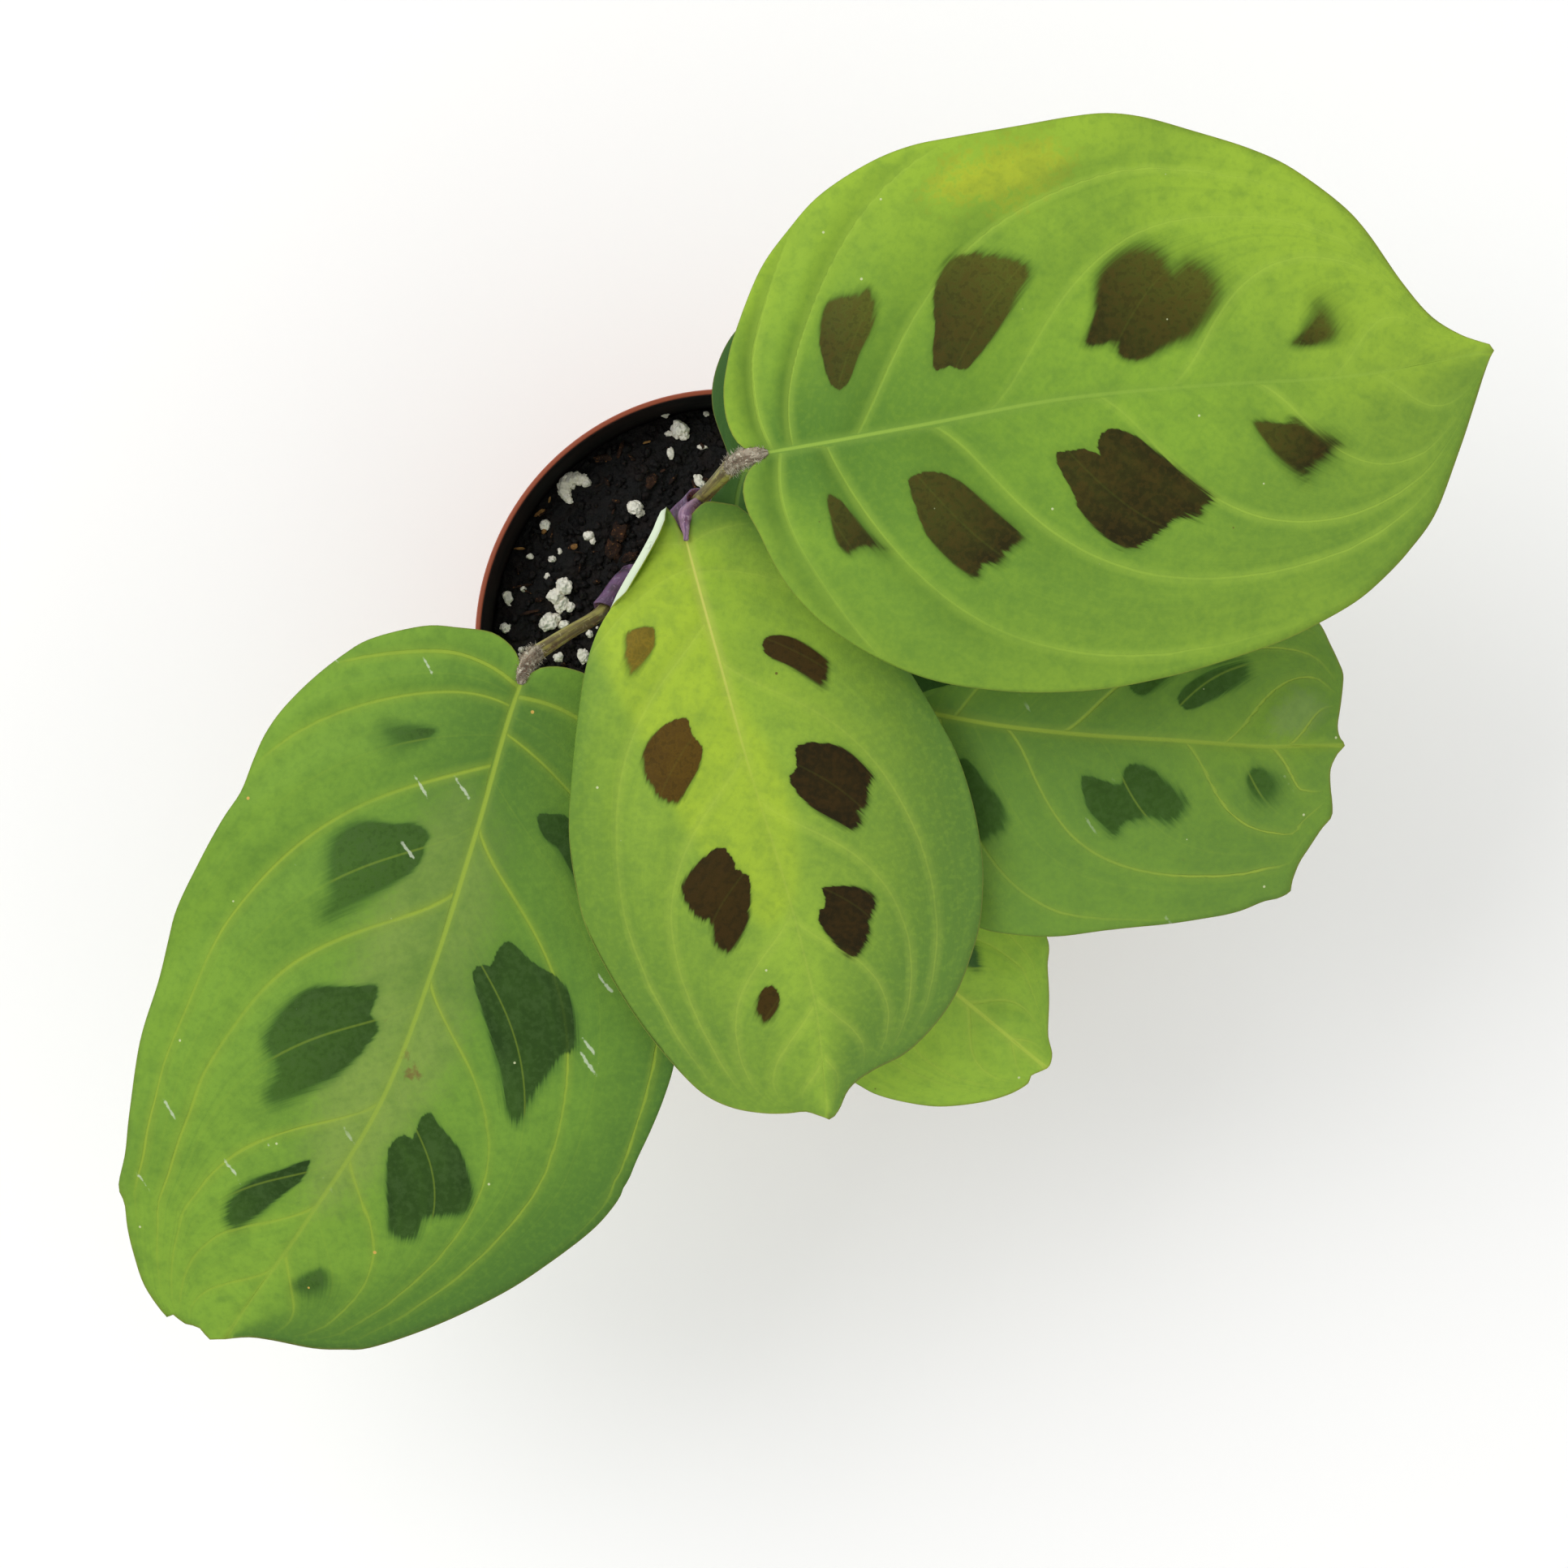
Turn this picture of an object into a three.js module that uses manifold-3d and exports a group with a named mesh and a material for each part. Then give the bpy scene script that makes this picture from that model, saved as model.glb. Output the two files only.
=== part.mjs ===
// A prayer plant (Maranta) with six leaves in a small round nursery pot.
// Millimetres, +Z up. The origin is the middle of the pot's underside.
import * as THREE from 'three';
import { mergeVertices } from 'three/addons/utils/BufferGeometryUtils.js';
import Module from 'manifold-3d';

const wasm = await Module();
wasm.setup();

// Pot: radii and heights of the moulding
const POT_HEIGHT = 72;
const RIM_RADIUS = 41;
const COLLAR_HEIGHT = 14;
const COLLAR_STEP = 1.6;
const FOOT_RADIUS = 28;
const POT_WALL = 1.2;
const PAD_RADIUS = 9;
const CHANNEL_DEPTH = 1.2;
const CHANNEL_OUTER_RADIUS = 23.5;
const DRAIN_HOLES = 8;
const DRAIN_RADIUS = 3;
const DRAIN_CIRCLE = 16.5;
const DRAIN_SIDES = 16;
const EDGE_ROUND = 0.8;
const COLLAR_DRAFT = 1;
const POT_SIDES = 48;

// Soil: its level, its relief and the perlite in it
const SOIL_LEVEL = 63.6;
const SOIL_RELIEF = 0.55;
const SOIL_SETTLED = 1.2;
const CROWN_HEAP = 1.2;
const HEAP_SPREAD = 5.5;
const SETTLED_WIDTH = 4;
const SOIL_SIDES = 36;
const SOIL_RINGS = 9;
const STEM_HOLE_DEPTH = 6;
const CROWN_HEIGHT = 4;
const CROWN_TAPER = 0.9;
const PERLITE_SCATTERED = 30;
const PERLITE_SEED = 7;
const PERLITE_SUNK = 0.15;

// Clearance between neighbouring solids
const GAP = 0.3;

// Leaf blades: thickness, relief and the grid that carries them
const BLADE_THICKNESS = 0.8;
const MIDRIB_DEPTH = 0.9;
const MIDRIB_GROOVE = 0.25;
const PLEAT_HEIGHT = 0.4;
const VEINS_PER_SIDE = 8;
const BLADE_ROWS = 24;
const COLUMNS = [0, 0.06, 0.33, 0.64, 0.88, 1];
const VEIN_BEND_ALONG = 0.3;
const VEIN_BEND_OUT = 0.75;
const MARGIN_EASE = 1.6;
const MARGIN_WAVES = 2.5;

// Stalks: sides of their sections
const STALK_SIDES = 10;
const STALK_STEPS = 10;

// Each leaf lies in its own plan: "along" runs from the blade's base to its tip and "out" away from
// the midrib. left and right are the margins (along, out), seen from above with the tip ahead.
// bow is the midrib's sideways bend, rise its height over the base, and leftDrop and rightDrop the
// height of the margins over the midrib, each at equal steps from base to tip.
const LEAVES = {
  upper_right: {
    base: [6.5, 26.1, 122],
    heading: 8.2,
    length: 109.7,
    left: [[-2.5, 0.8], [-4.8, 3.5], [-5.2, 9], [-2.5, 17.5], [3, 27], [12, 35.5], [23, 40.3], [38, 41.6],
      [52, 42.3], [66, 39.3], [80, 32.6], [90, 24.2], [96, 14], [101, 6], [106, 2.2]],
    right: [[-2, 1.4], [-4.3, 4.5], [-4, 8.4], [-1.4, 16.3], [4.7, 26], [14, 33.8], [26, 38.8], [44, 41.7],
      [62, 40.2], [77, 36.8], [88, 31.5], [97, 23], [102, 14.2], [105.7, 7.3], [108, 2.6]],
    bow: [0, 0.5, 1.3, 0.3, -1.2, 0],
    rise: [0, 2.2, 3, 2.2, 0, -5],
    leftDrop: [0, 1, 1.5, 0, -2.5, 0],
    rightDrop: [0, -3, -4.5, -3.5, -2, 0],
    wave: 0.7,
    curl: 0,
  },
  centre: {
    base: [-5.9, 14.3, 106],
    heading: -76.2,
    length: 92.1,
    left: [[-1.8, 0.5], [-4.6, 3.5], [-4.2, 6.5], [-2, 9.8], [5, 15.5], [14, 21.3], [27, 28], [41, 32.3],
      [53, 32.8], [67, 30], [78, 23.5], [84.7, 14], [87, 6], [90.3, 2.2]],
    right: [[-2.2, 0.4], [-5.3, 1.8], [-3.2, 4.2], [1, 7.6], [8, 13.9], [17, 20.2], [32, 25.9], [49, 29.1],
      [62, 27.3], [77, 21.4], [84, 17.4], [88.5, 9.8], [90.5, 3]],
    bow: [0, 0.5, 1.1, 2.2, 2.2, 0],
    rise: [0, 1.6, 2, 0.5, -4, -12],
    leftDrop: [0, -2.5, -3, -2.5, -1.5, 0],
    rightDrop: [0, -1, -3, -3.5, -2, 0],
    wave: 0.6,
    curl: 1.6,
  },
  lower_left: {
    base: [-31.7, -7.4, 97],
    heading: -114.9,
    length: 114.7,
    left: [[-2, 0.8], [-4.8, 4], [-5.3, 9.7], [-3, 18.5], [4.5, 27.5], [20.8, 38.2], [38, 45], [55, 47.4],
      [68.5, 47], [85, 39.5], [98, 29.5], [107, 19.5], [110.5, 10.5], [113, 3]],
    right: [[-2.4, 1], [-4.8, 4], [-5, 9], [-2, 16.5], [4, 24.5], [13, 29.6], [24, 32.8], [35, 32.5],
      [50, 34.2], [64, 32.7], [80, 30.2], [94, 26], [104.7, 21.4], [112, 15.2], [115.6, 10], [115.3, 4.5]],
    bow: [0, 3.4, 6.2, 7.4, 4.2, 0],
    rise: [0, 0.5, -1.5, -4.5, -9.5, -17],
    leftDrop: [0, -3, -3.5, -3, -2, 0],
    rightDrop: [0, -1.5, -2, -2.5, -1.5, 0],
    wave: 0.8,
    curl: 0,
  },
  right: {
    base: [28.1, -11.5, 98],
    heading: -4.6,
    length: 68.7,
    left: [[0.6, 1.5], [3, 3], [7, 4.4], [13, 6.5], [22, 10.5], [34, 16.5], [47, 20.6], [57, 21.3],
      [63.5, 18.8], [66.5, 14], [67.9, 8], [67.6, 3]],
    right: [[-1, 2.5], [-2.6, 9], [-1.5, 17], [2.5, 24], [8, 29.2], [16, 33], [26, 33.1], [40, 30.5],
      [52, 27.8], [62, 23.2], [64.2, 16.6], [67.6, 10.5], [66.8, 4.2]],
    bow: [0, -1.1, -1.2, -0.9, -1, 0],
    rise: [0, 1.3, 1, -0.5, -2.8, -6],
    leftDrop: [0, -6, -8, -6, -3, 0],
    rightDrop: [0, -2, -3, -3, -2, 0],
    wave: 0.7,
    curl: 0,
  },
  bottom: {
    base: [-2, -26.1, 86],
    heading: -38.6,
    length: 67.9,
    left: [[-1.5, 2], [-2.2, 5], [2, 9.5], [10, 14], [21.6, 18.1], [35, 19.8], [46.5, 19], [54.6, 16.3],
      [60.9, 9.2], [66, 2.8]],
    right: [[-1.5, 2], [-2.2, 5], [1, 9], [8, 14.2], [20, 19.6], [34, 21.6], [47, 20.3], [57, 16],
      [64, 9.6], [67, 3.6]],
    bow: [0, 0.2, 0.5, 0.5, 0.3, 0],
    rise: [0, 1.2, 1, -0.5, -3.5, -8],
    leftDrop: [0, -2, -3, -3, -2, 0],
    rightDrop: [0, -2, -3, -3, -2, 0],
    wave: 0.5,
    curl: 0,
  },
  under: {
    base: [1.3, 26.3, 92],
    heading: -9.6,
    length: 90.4,
    left: [[-2, 3.2], [-5, 9], [-5.4, 15], [-3.3, 21.5], [2, 27.3], [14, 32], [28, 33], [44, 30],
      [62, 23.3], [78, 11.5], [85, 5]],
    right: [[-1.4, 2.2], [-2.8, 5], [-2, 9.5], [3, 17], [11, 23], [22, 27.3], [34, 30], [46, 29],
      [58, 25.5], [71, 18.5], [82, 9.5]],
    bow: [0, -0.2, -0.3, -0.3, -0.2, 0],
    rise: [0, 0, -1.5, -3, -6, -10],
    leftDrop: [0, -2, -3, -3, -2, 0],
    rightDrop: [0, -4, -7, -6, -3, 0],
    wave: 0.6,
    curl: 0,
  },
};

// Where a blade's right margin curls up beside its base, as a share of that margin's length, and
// how far in from the edge the curl starts
const CURL_START = 0.03;
const CURL_END = 0.3;
const CURL_COLUMN = 0.85;

// Stalks: the points each one runs through and its radii, at equal steps
const STALKS = {
  petiole_upper_right: {
    points: [[-6.4, 19.6, 92], [-3.5, 21.4, 98.5], [-1.2, 22.8, 108], [1.1, 24.3, 117.7]],
    radii: [1, 1.1, 1.15, 1.3],
  },
  petiole_lower_left: {
    points: [[-17.9, 7.3, 81], [-20, 4, 84.2], [-24.8, 0.7, 89.6], [-29.3, -2.5, 93.9]],
    radii: [1, 1.1, 1.1, 1.25],
  },
  petiole_right: {
    points: [[13.6, -12.6, 80.5], [16.6, -13, 86], [20.6, -12.8, 92], [24, -12.2, 95.3]],
    radii: [1, 1.1, 1.1, 1.2],
  },
  petiole_bottom: {
    points: [[2.8, -13.5, 73], [1.5, -16.5, 77], [-0.4, -20, 80.4], [-1.4, -22.7, 82.3]],
    radii: [1, 1.05, 1.05, 1.1],
  },
  petiole_under: {
    points: [[-2.6, 17.6, 75.5], [-1.2, 19.8, 80], [0, 22.2, 84.6], [0.45, 24.1, 87.8]],
    radii: [1, 1.05, 1.05, 1.1],
  },
};

const PULVINI = {
  upper_right: { from: [1.25, 24.4, 118], bend: [3, 25.4, 120.9], radii: [1.35, 1.65, 1.5, 0.95, 0.6] },
  lower_left: { from: [-29.5, -2.7, 94.1], bend: [-31, -4.4, 96], radii: [1.3, 1.6, 1.5, 0.95, 0.6] },
  right: { from: [24.3, -12.1, 95.5], bend: [25.8, -11.9, 97], radii: [1.25, 1.45, 1.35, 0.85, 0.6] },
  bottom: { from: [-1.5, -22.9, 82.6], bend: [-2.1, -24.5, 83.9], radii: [1.15, 1.3, 1, 0.7, 0.55] },
  under: { from: [0.5, 24.3, 88.1], bend: [0.4, 25.3, 89.1], radii: [1.15, 1.3, 1, 0.7, 0.55] },
  centre: { from: [-4.6, 19.1, 100.6], bend: [-6.4, 17.9, 106], radii: [1.3, 2, 1.7, 0.7, 0.5], lift: 1.2 },
};

// Shoots: arms from the crown to the sheath mouths, with the stalks that stand in the mouths
const SHOOTS = {
  shoot_left: {
    crown: [-8.5, 10.5],
    crownRadius: 3.6,
    arms: [
      {
        points: [[-8.5, 10.5, 66], [-9.3, 13.4, 76], [-8.4, 17.6, 87], [-4.4, 20.9, 97]],
        radii: [2.8, 2.2, 2.1, 2.4],
        holds: 'petiole_upper_right',
      },
      {
        points: [[-8.5, 10.5, 65.6], [-11.8, 11.2, 71.6], [-16, 9.8, 78], [-19.3, 5, 83.2]],
        radii: [2.8, 2, 1.9, 2.1],
        holds: 'petiole_lower_left',
      },
      {
        points: [[-8.5, 10.5, 65.6], [-5.4, 13.2, 69.4], [-3.2, 16.4, 73.5], [-1.7, 19, 78.3]],
        radii: [2.6, 1.9, 1.8, 1.8],
        holds: 'petiole_under',
      },
    ],
  },
  shoot_right: {
    crown: [6, -6],
    crownRadius: 3,
    arms: [
      {
        points: [[6, -6, 66], [8.8, -9.4, 73], [12, -12.2, 78], [15.5, -12.9, 84]],
        radii: [2.5, 2.1, 1.9, 1.9],
        holds: 'petiole_right',
      },
      {
        points: [[6, -6, 65.6], [5, -8.6, 68.6], [3.6, -12, 72], [2, -15.3, 75.5]],
        radii: [2.5, 2, 1.8, 1.8],
        holds: 'petiole_bottom',
      },
    ],
  },
};

const COLOURS = {
  pot: '#b5573a',
  soil: '#1f1813',
  shoot: '#6a4a6c',
  petiole: '#6e6a2e',
  pulvinus: '#9a8a78',
  pulvinusPurple: '#7a5a80',
  upper_right: '#8ab43a',
  centre: '#97bb3a',
  lower_left: '#7aa23c',
  right: '#72993a',
  bottom: '#82a83e',
  under: '#5f8a34',
};

function vector([x, y, z]) {
  return new THREE.Vector3(x, y, z);
}

// A smooth value from a list at equal steps, share running from 0 to 1
function eased(values, share) {
  const curve = new THREE.SplineCurve(values.map((value, i) => new THREE.Vector2(i, value)));
  return curve.getPoint(THREE.MathUtils.clamp(share, 0, 1)).y;
}

function mesh(name, geometry, colour, roughness = 0.6) {
  geometry.computeVertexNormals();
  const material = new THREE.MeshStandardMaterial({ color: colour, roughness, metalness: 0 });
  const result = new THREE.Mesh(geometry, material);
  result.name = name;
  return result;
}

// Closed triangles of a geometry, its shared vertices merged
function closed(geometry) {
  const bare = new THREE.BufferGeometry();
  bare.setAttribute('position', geometry.getAttribute('position').clone());
  if (geometry.index) bare.setIndex(geometry.index.clone());
  return mergeVertices(bare, 1e-4);
}

function toSolid(geometry) {
  const merged = closed(geometry);
  return new wasm.Manifold(new wasm.Mesh({
    numProp: 3,
    vertProperties: Float32Array.from(merged.getAttribute('position').array),
    triVerts: Uint32Array.from(merged.index.array),
  }));
}

function toGeometry(solid) {
  const { vertProperties, triVerts } = solid.getMesh();
  const geometry = new THREE.BufferGeometry();
  geometry.setAttribute('position', new THREE.BufferAttribute(vertProperties, 3));
  geometry.setIndex(new THREE.BufferAttribute(triVerts, 1));
  return geometry;
}

// A body turned about +Z from a profile of (radius, height) points
function turned(profile, sides) {
  const points = profile.map(([radius, height]) => new THREE.Vector2(radius, height));
  return new THREE.LatheGeometry(points, sides).rotateX(Math.PI / 2);
}

// The pot's inside radius at a height, under its collar
function innerRadius(height) {
  const top = RIM_RADIUS - COLLAR_STEP - POT_WALL - COLLAR_DRAFT;
  const bottom = FOOT_RADIUS - POT_WALL;
  return THREE.MathUtils.lerp(bottom, top, height / (POT_HEIGHT - COLLAR_HEIGHT));
}

// The step inside the collar, which the soil covers
const SHOULDER = POT_HEIGHT - COLLAR_HEIGHT;
const COLLAR_FOOT = RIM_RADIUS - COLLAR_DRAFT;
const LEDGE_TOP = SHOULDER + 1.4;
const LEDGE_FOOT = SHOULDER - 1.5;
const POT_FLOOR = CHANNEL_DEPTH + POT_WALL;
const SOIL_RADIUS = COLLAR_FOOT - POT_WALL - GAP;

function pot() {
  const profile = [
    [0, 0],
    [PAD_RADIUS, 0],
    [PAD_RADIUS + CHANNEL_DEPTH, CHANNEL_DEPTH],
    [CHANNEL_OUTER_RADIUS, CHANNEL_DEPTH],
    [CHANNEL_OUTER_RADIUS + CHANNEL_DEPTH, 0],
    [FOOT_RADIUS - EDGE_ROUND, 0],
    [FOOT_RADIUS, EDGE_ROUND],
    [innerRadius(SHOULDER - 1) + POT_WALL, SHOULDER - 1],
    [COLLAR_FOOT, SHOULDER],
    [RIM_RADIUS, POT_HEIGHT - EDGE_ROUND],
    [RIM_RADIUS - 0.4 * EDGE_ROUND, POT_HEIGHT],
    [RIM_RADIUS - POT_WALL, POT_HEIGHT],
    [COLLAR_FOOT - POT_WALL, LEDGE_TOP],
    [innerRadius(LEDGE_FOOT), LEDGE_FOOT],
    [innerRadius(POT_FLOOR + EDGE_ROUND), POT_FLOOR + EDGE_ROUND],
    [innerRadius(POT_FLOOR) - EDGE_ROUND, POT_FLOOR],
    [0, POT_FLOOR],
  ];
  let solid = toSolid(turned(profile, POT_SIDES));
  for (let i = 0; i < DRAIN_HOLES; i += 1) {
    const angle = (i + 0.5) * 2 * Math.PI / DRAIN_HOLES;
    const drain = new THREE.CylinderGeometry(DRAIN_RADIUS, DRAIN_RADIUS, 4 * POT_FLOOR, DRAIN_SIDES);
    drain.rotateX(Math.PI / 2);
    drain.translate(DRAIN_CIRCLE * Math.cos(angle), DRAIN_CIRCLE * Math.sin(angle), 0);
    solid = solid.subtract(toSolid(drain));
  }
  return mesh('pot', toGeometry(solid), COLOURS.pot, 0.5);
}

// The height of the soil's surface: uneven, heaped at the crowns and settled along the wall
function soilHeight(x, y) {
  const ripple = Math.sin(0.31 * x + 0.2) * Math.cos(0.27 * y - 0.6) + 0.5 * Math.sin(0.62 * x - 0.55 * y);
  const heap = Object.values(SHOOTS).reduce((sum, { crown }) => (
    sum + CROWN_HEAP * Math.exp(-0.5 * (Math.hypot(x - crown[0], y - crown[1]) / HEAP_SPREAD) ** 2)), 0);
  const fromWall = SOIL_RADIUS - Math.hypot(x, y);
  const settled = 1 - THREE.MathUtils.smoothstep(fromWall, 0, SETTLED_WIDTH);
  return THREE.MathUtils.lerp(SOIL_LEVEL + SOIL_RELIEF * ripple + heap, SOIL_LEVEL - SOIL_SETTLED, settled);
}

// Repeatable random numbers from 0 to 1
function seeded(seed) {
  let state = seed;
  return () => {
    state = (state * 16807) % 2147483647;
    return state / 2147483647;
  };
}

// One perlite lump: a few-sided stone, knocked out of round and sunk past its widest part
function perliteLump(x, y, radius, random) {
  const stone = new THREE.IcosahedronGeometry(radius, 0);
  stone.rotateX(random() * Math.PI);
  stone.rotateZ(random() * Math.PI);
  stone.scale(0.8 + 0.4 * random(), 0.8 + 0.4 * random(), 0.8);
  return toSolid(stone.translate(x, y, soilHeight(x, y) - PERLITE_SUNK * radius));
}

// The large lumps that show on the open side of the pot: x, y and radius
const PERLITE_LARGE = [
  [-24.8, 25.2, 2.5], [-27.2, 8.2, 2.6], [-29.6, 3.6, 2], [-8, 35, 1.7], [-15.4, 22.2, 1.4],
  [-4.6, 26.4, 1.2], [-22.8, 17.6, 1.1], [-35.9, 7.2, 1.1], [-23.8, -1.9, 1.1], [-30.2, 19.4, 0.9],
];

function soil() {
  const bottom = POT_FLOOR + GAP;
  const footRadius = innerRadius(POT_FLOOR) - GAP;
  const profile = [
    [0, bottom],
    [footRadius - 2 * EDGE_ROUND, bottom],
    [footRadius, bottom + 2 * EDGE_ROUND],
    [innerRadius(LEDGE_FOOT) - GAP, LEDGE_FOOT + GAP],
    [SOIL_RADIUS, LEDGE_TOP + GAP],
  ];
  for (let ring = SOIL_RINGS; ring >= 0; ring -= 1) {
    profile.push([SOIL_RADIUS * ring / SOIL_RINGS, SOIL_LEVEL]);
  }
  const body = closed(turned(profile, SOIL_SIDES));
  const position = body.getAttribute('position');
  for (let i = 0; i < position.count; i += 1) {
    if (position.getZ(i) > SOIL_LEVEL - 1) {
      position.setZ(i, soilHeight(position.getX(i), position.getY(i)));
    }
  }
  let solid = toSolid(body);
  const random = seeded(PERLITE_SEED);
  for (const [x, y, size] of PERLITE_LARGE) {
    solid = solid.add(perliteLump(x, y, size, random));
  }
  for (let i = 0; i < PERLITE_SCATTERED; i += 1) {
    const angle = random() * 2 * Math.PI;
    const distance = (SOIL_RADIUS - SETTLED_WIDTH) * Math.sqrt(random());
    const [x, y] = [distance * Math.cos(angle), distance * Math.sin(angle)];
    const size = 0.8 + 0.7 * random() ** 2;
    const clear = Object.values(SHOOTS).every(({ crown, crownRadius }) => (
      Math.hypot(x - crown[0], y - crown[1]) > crownRadius + 3 * size));
    if (clear) solid = solid.add(perliteLump(x, y, size, random));
  }
  for (const { crown, crownRadius } of Object.values(SHOOTS)) {
    const hole = new THREE.CylinderGeometry(crownRadius + GAP, crownRadius + GAP, 3 * STEM_HOLE_DEPTH,
      STALK_SIDES);
    hole.rotateX(Math.PI / 2);
    hole.translate(crown[0], crown[1], SOIL_LEVEL + STEM_HOLE_DEPTH / 2);
    solid = solid.subtract(toSolid(hole));
  }
  return mesh('soil', toGeometry(solid), COLOURS.soil, 0.95);
}

// A round stalk through points, with radii at equal steps along it
function stalk(points, radii, swell = 0) {
  const curve = new THREE.CatmullRomCurve3(points.map(vector), false, 'centripetal');
  const frames = curve.computeFrenetFrames(STALK_STEPS, false);
  const geometry = new THREE.CylinderGeometry(1, 1, 1, STALK_SIDES, STALK_STEPS);
  const position = geometry.getAttribute('position');
  for (let i = 0; i < position.count; i += 1) {
    const step = Math.round((position.getY(i) + 0.5) * STALK_STEPS);
    const radius = eased(radii, step / STALK_STEPS) + swell;
    const spot = curve.getPointAt(step / STALK_STEPS)
      .addScaledVector(frames.normals[step], position.getX(i) * radius)
      .addScaledVector(frames.binormals[step], -position.getZ(i) * radius);
    position.setXYZ(i, spot.x, spot.y, spot.z);
  }
  return closed(geometry);
}

// A shoot: its crown in the soil and the arms, hollowed at the mouths for the petioles
function shoot(name, { crown, crownRadius, arms }) {
  const height = STEM_HOLE_DEPTH - GAP + CROWN_HEIGHT;
  const stem = new THREE.CylinderGeometry(CROWN_TAPER * crownRadius, crownRadius, height, STALK_SIDES);
  stem.rotateX(Math.PI / 2);
  stem.translate(crown[0], crown[1], SOIL_LEVEL + CROWN_HEIGHT - height / 2);
  let solid = toSolid(stem);
  for (const { points, radii } of arms) {
    solid = solid.add(toSolid(stalk(points, radii)));
  }
  for (const { holds } of arms) {
    const { points, radii } = STALKS[holds];
    solid = solid.subtract(toSolid(stalk(points, radii, GAP)));
  }
  return mesh(name, toGeometry(solid), COLOURS.shoot, 0.6);
}

// The surface of one side of a blade: row 0 is the base and row 1 the tip, column 0 the midrib and
// column 1 the margin. Its rows follow the lateral veins, which leave the midrib and bend forward.
function bladeSide(leaf, side) {
  const margin = new THREE.SplineCurve(
    [[0, 0], ...leaf[side], [leaf.length, 0]].map(([along, out]) => new THREE.Vector2(along, out)));
  margin.arcLengthDivisions = 400;
  const sign = side === 'left' ? 1 : -1;
  return (row, column) => {
    const start = 0.1 * row + 0.9 * row ** 3.5;
    const mid = new THREE.Vector2(start * leaf.length, sign * eased(leaf.bow, start));
    const edge = margin.getPointAt(row);
    const span = edge.clone().sub(mid);
    const bend = new THREE.Vector2(mid.x + VEIN_BEND_ALONG * span.x, mid.y + VEIN_BEND_OUT * span.y);
    const place = new THREE.QuadraticBezierCurve(mid, bend, edge).getPoint(column);
    const pleat = Math.sin(Math.PI * VEINS_PER_SIDE * row) ** 2 * Math.sin(Math.PI * column);
    const wave = Math.sin(2 * Math.PI * MARGIN_WAVES * row + 1) * Math.sin(Math.PI * row) * column ** 3;
    const curled = side === 'right' ? Math.sin(Math.PI * THREE.MathUtils.clamp(
      (row - CURL_START) / (CURL_END - CURL_START), 0, 1)) : 0;
    const height = leaf.base[2] + eased(leaf.rise, place.x / leaf.length)
      + eased(leaf[`${side}Drop`], row) * column ** MARGIN_EASE
      + PLEAT_HEIGHT * pleat + leaf.wave * wave
      + leaf.curl * curled * THREE.MathUtils.smoothstep(column, CURL_COLUMN, 1);
    return new THREE.Vector3(place.x, sign * place.y, height);
  };
}

// A leaf blade: a waved sheet with a rib under its midrib, split alike on both faces
function blade(name, leaf) {
  const heading = THREE.MathUtils.degToRad(leaf.heading);
  const vertices = [];
  const ribs = [];
  const put = (spot, onMidrib) => {
    vertices.push(spot);
    ribs.push(onMidrib);
    return vertices.length - 1;
  };
  const left = bladeSide(leaf, 'left');
  const right = bladeSide(leaf, 'right');
  const base = put(left(0, 0), 0.4);
  const midrib = [];
  const sides = { left: [], right: [] };
  for (let i = 1; i < BLADE_ROWS; i += 1) {
    const row = i / BLADE_ROWS;
    midrib.push(put(left(row, 0), 1 - row));
    sides.left.push([midrib[i - 1], ...COLUMNS.slice(1).map((column) => put(left(row, column), 0))]);
    sides.right.push([midrib[i - 1], ...COLUMNS.slice(1).map((column) => put(right(row, column), 0))]);
  }
  const tip = put(left(1, 0), 0);

  const triangles = [];
  const face = (turn, a, b, c) => triangles.push(turn ? [a, c, b] : [a, b, c]);
  for (const [side, rows] of Object.entries(sides)) {
    const turn = side === 'right';
    const last = COLUMNS.length - 1;
    for (let j = 0; j < last; j += 1) {
      face(turn, base, rows[0][j], rows[0][j + 1]);
      face(turn, rows[rows.length - 1][j], tip, rows[rows.length - 1][j + 1]);
      for (let i = 0; i < rows.length - 1; i += 1) {
        face(turn, rows[i][j], rows[i + 1][j], rows[i + 1][j + 1]);
        face(turn, rows[i][j], rows[i + 1][j + 1], rows[i][j + 1]);
      }
    }
  }
  const rim = [
    base,
    ...sides.right.map((row) => row.at(-1)),
    tip,
    ...sides.left.map((row) => row.at(-1)).reverse(),
  ];

  const sheet = new THREE.BufferGeometry().setFromPoints(vertices);
  sheet.setIndex(triangles.flat());
  sheet.computeVertexNormals();
  const normal = sheet.getAttribute('normal');
  const count = vertices.length;
  const faces = [];
  const points = [];
  for (const up of [1, -1]) {
    vertices.forEach((spot, i) => {
      const lift = up * BLADE_THICKNESS / 2 - ribs[i] * (up > 0 ? MIDRIB_GROOVE : MIDRIB_DEPTH);
      points.push(spot.clone().addScaledVector(new THREE.Vector3().fromBufferAttribute(normal, i), lift));
    });
  }
  for (const [a, b, c] of triangles) {
    faces.push(a, b, c, a + count, c + count, b + count);
  }
  rim.forEach((a, i) => {
    const b = rim[(i + 1) % rim.length];
    faces.push(a, a + count, b, b, a + count, b + count);
  });
  const geometry = new THREE.BufferGeometry().setFromPoints(points);
  geometry.setIndex(faces);
  geometry.rotateZ(heading);
  geometry.translate(leaf.base[0], leaf.base[1], 0);
  return mesh(`blade_${name}`, geometry, COLOURS[name], 0.45);
}

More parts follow.
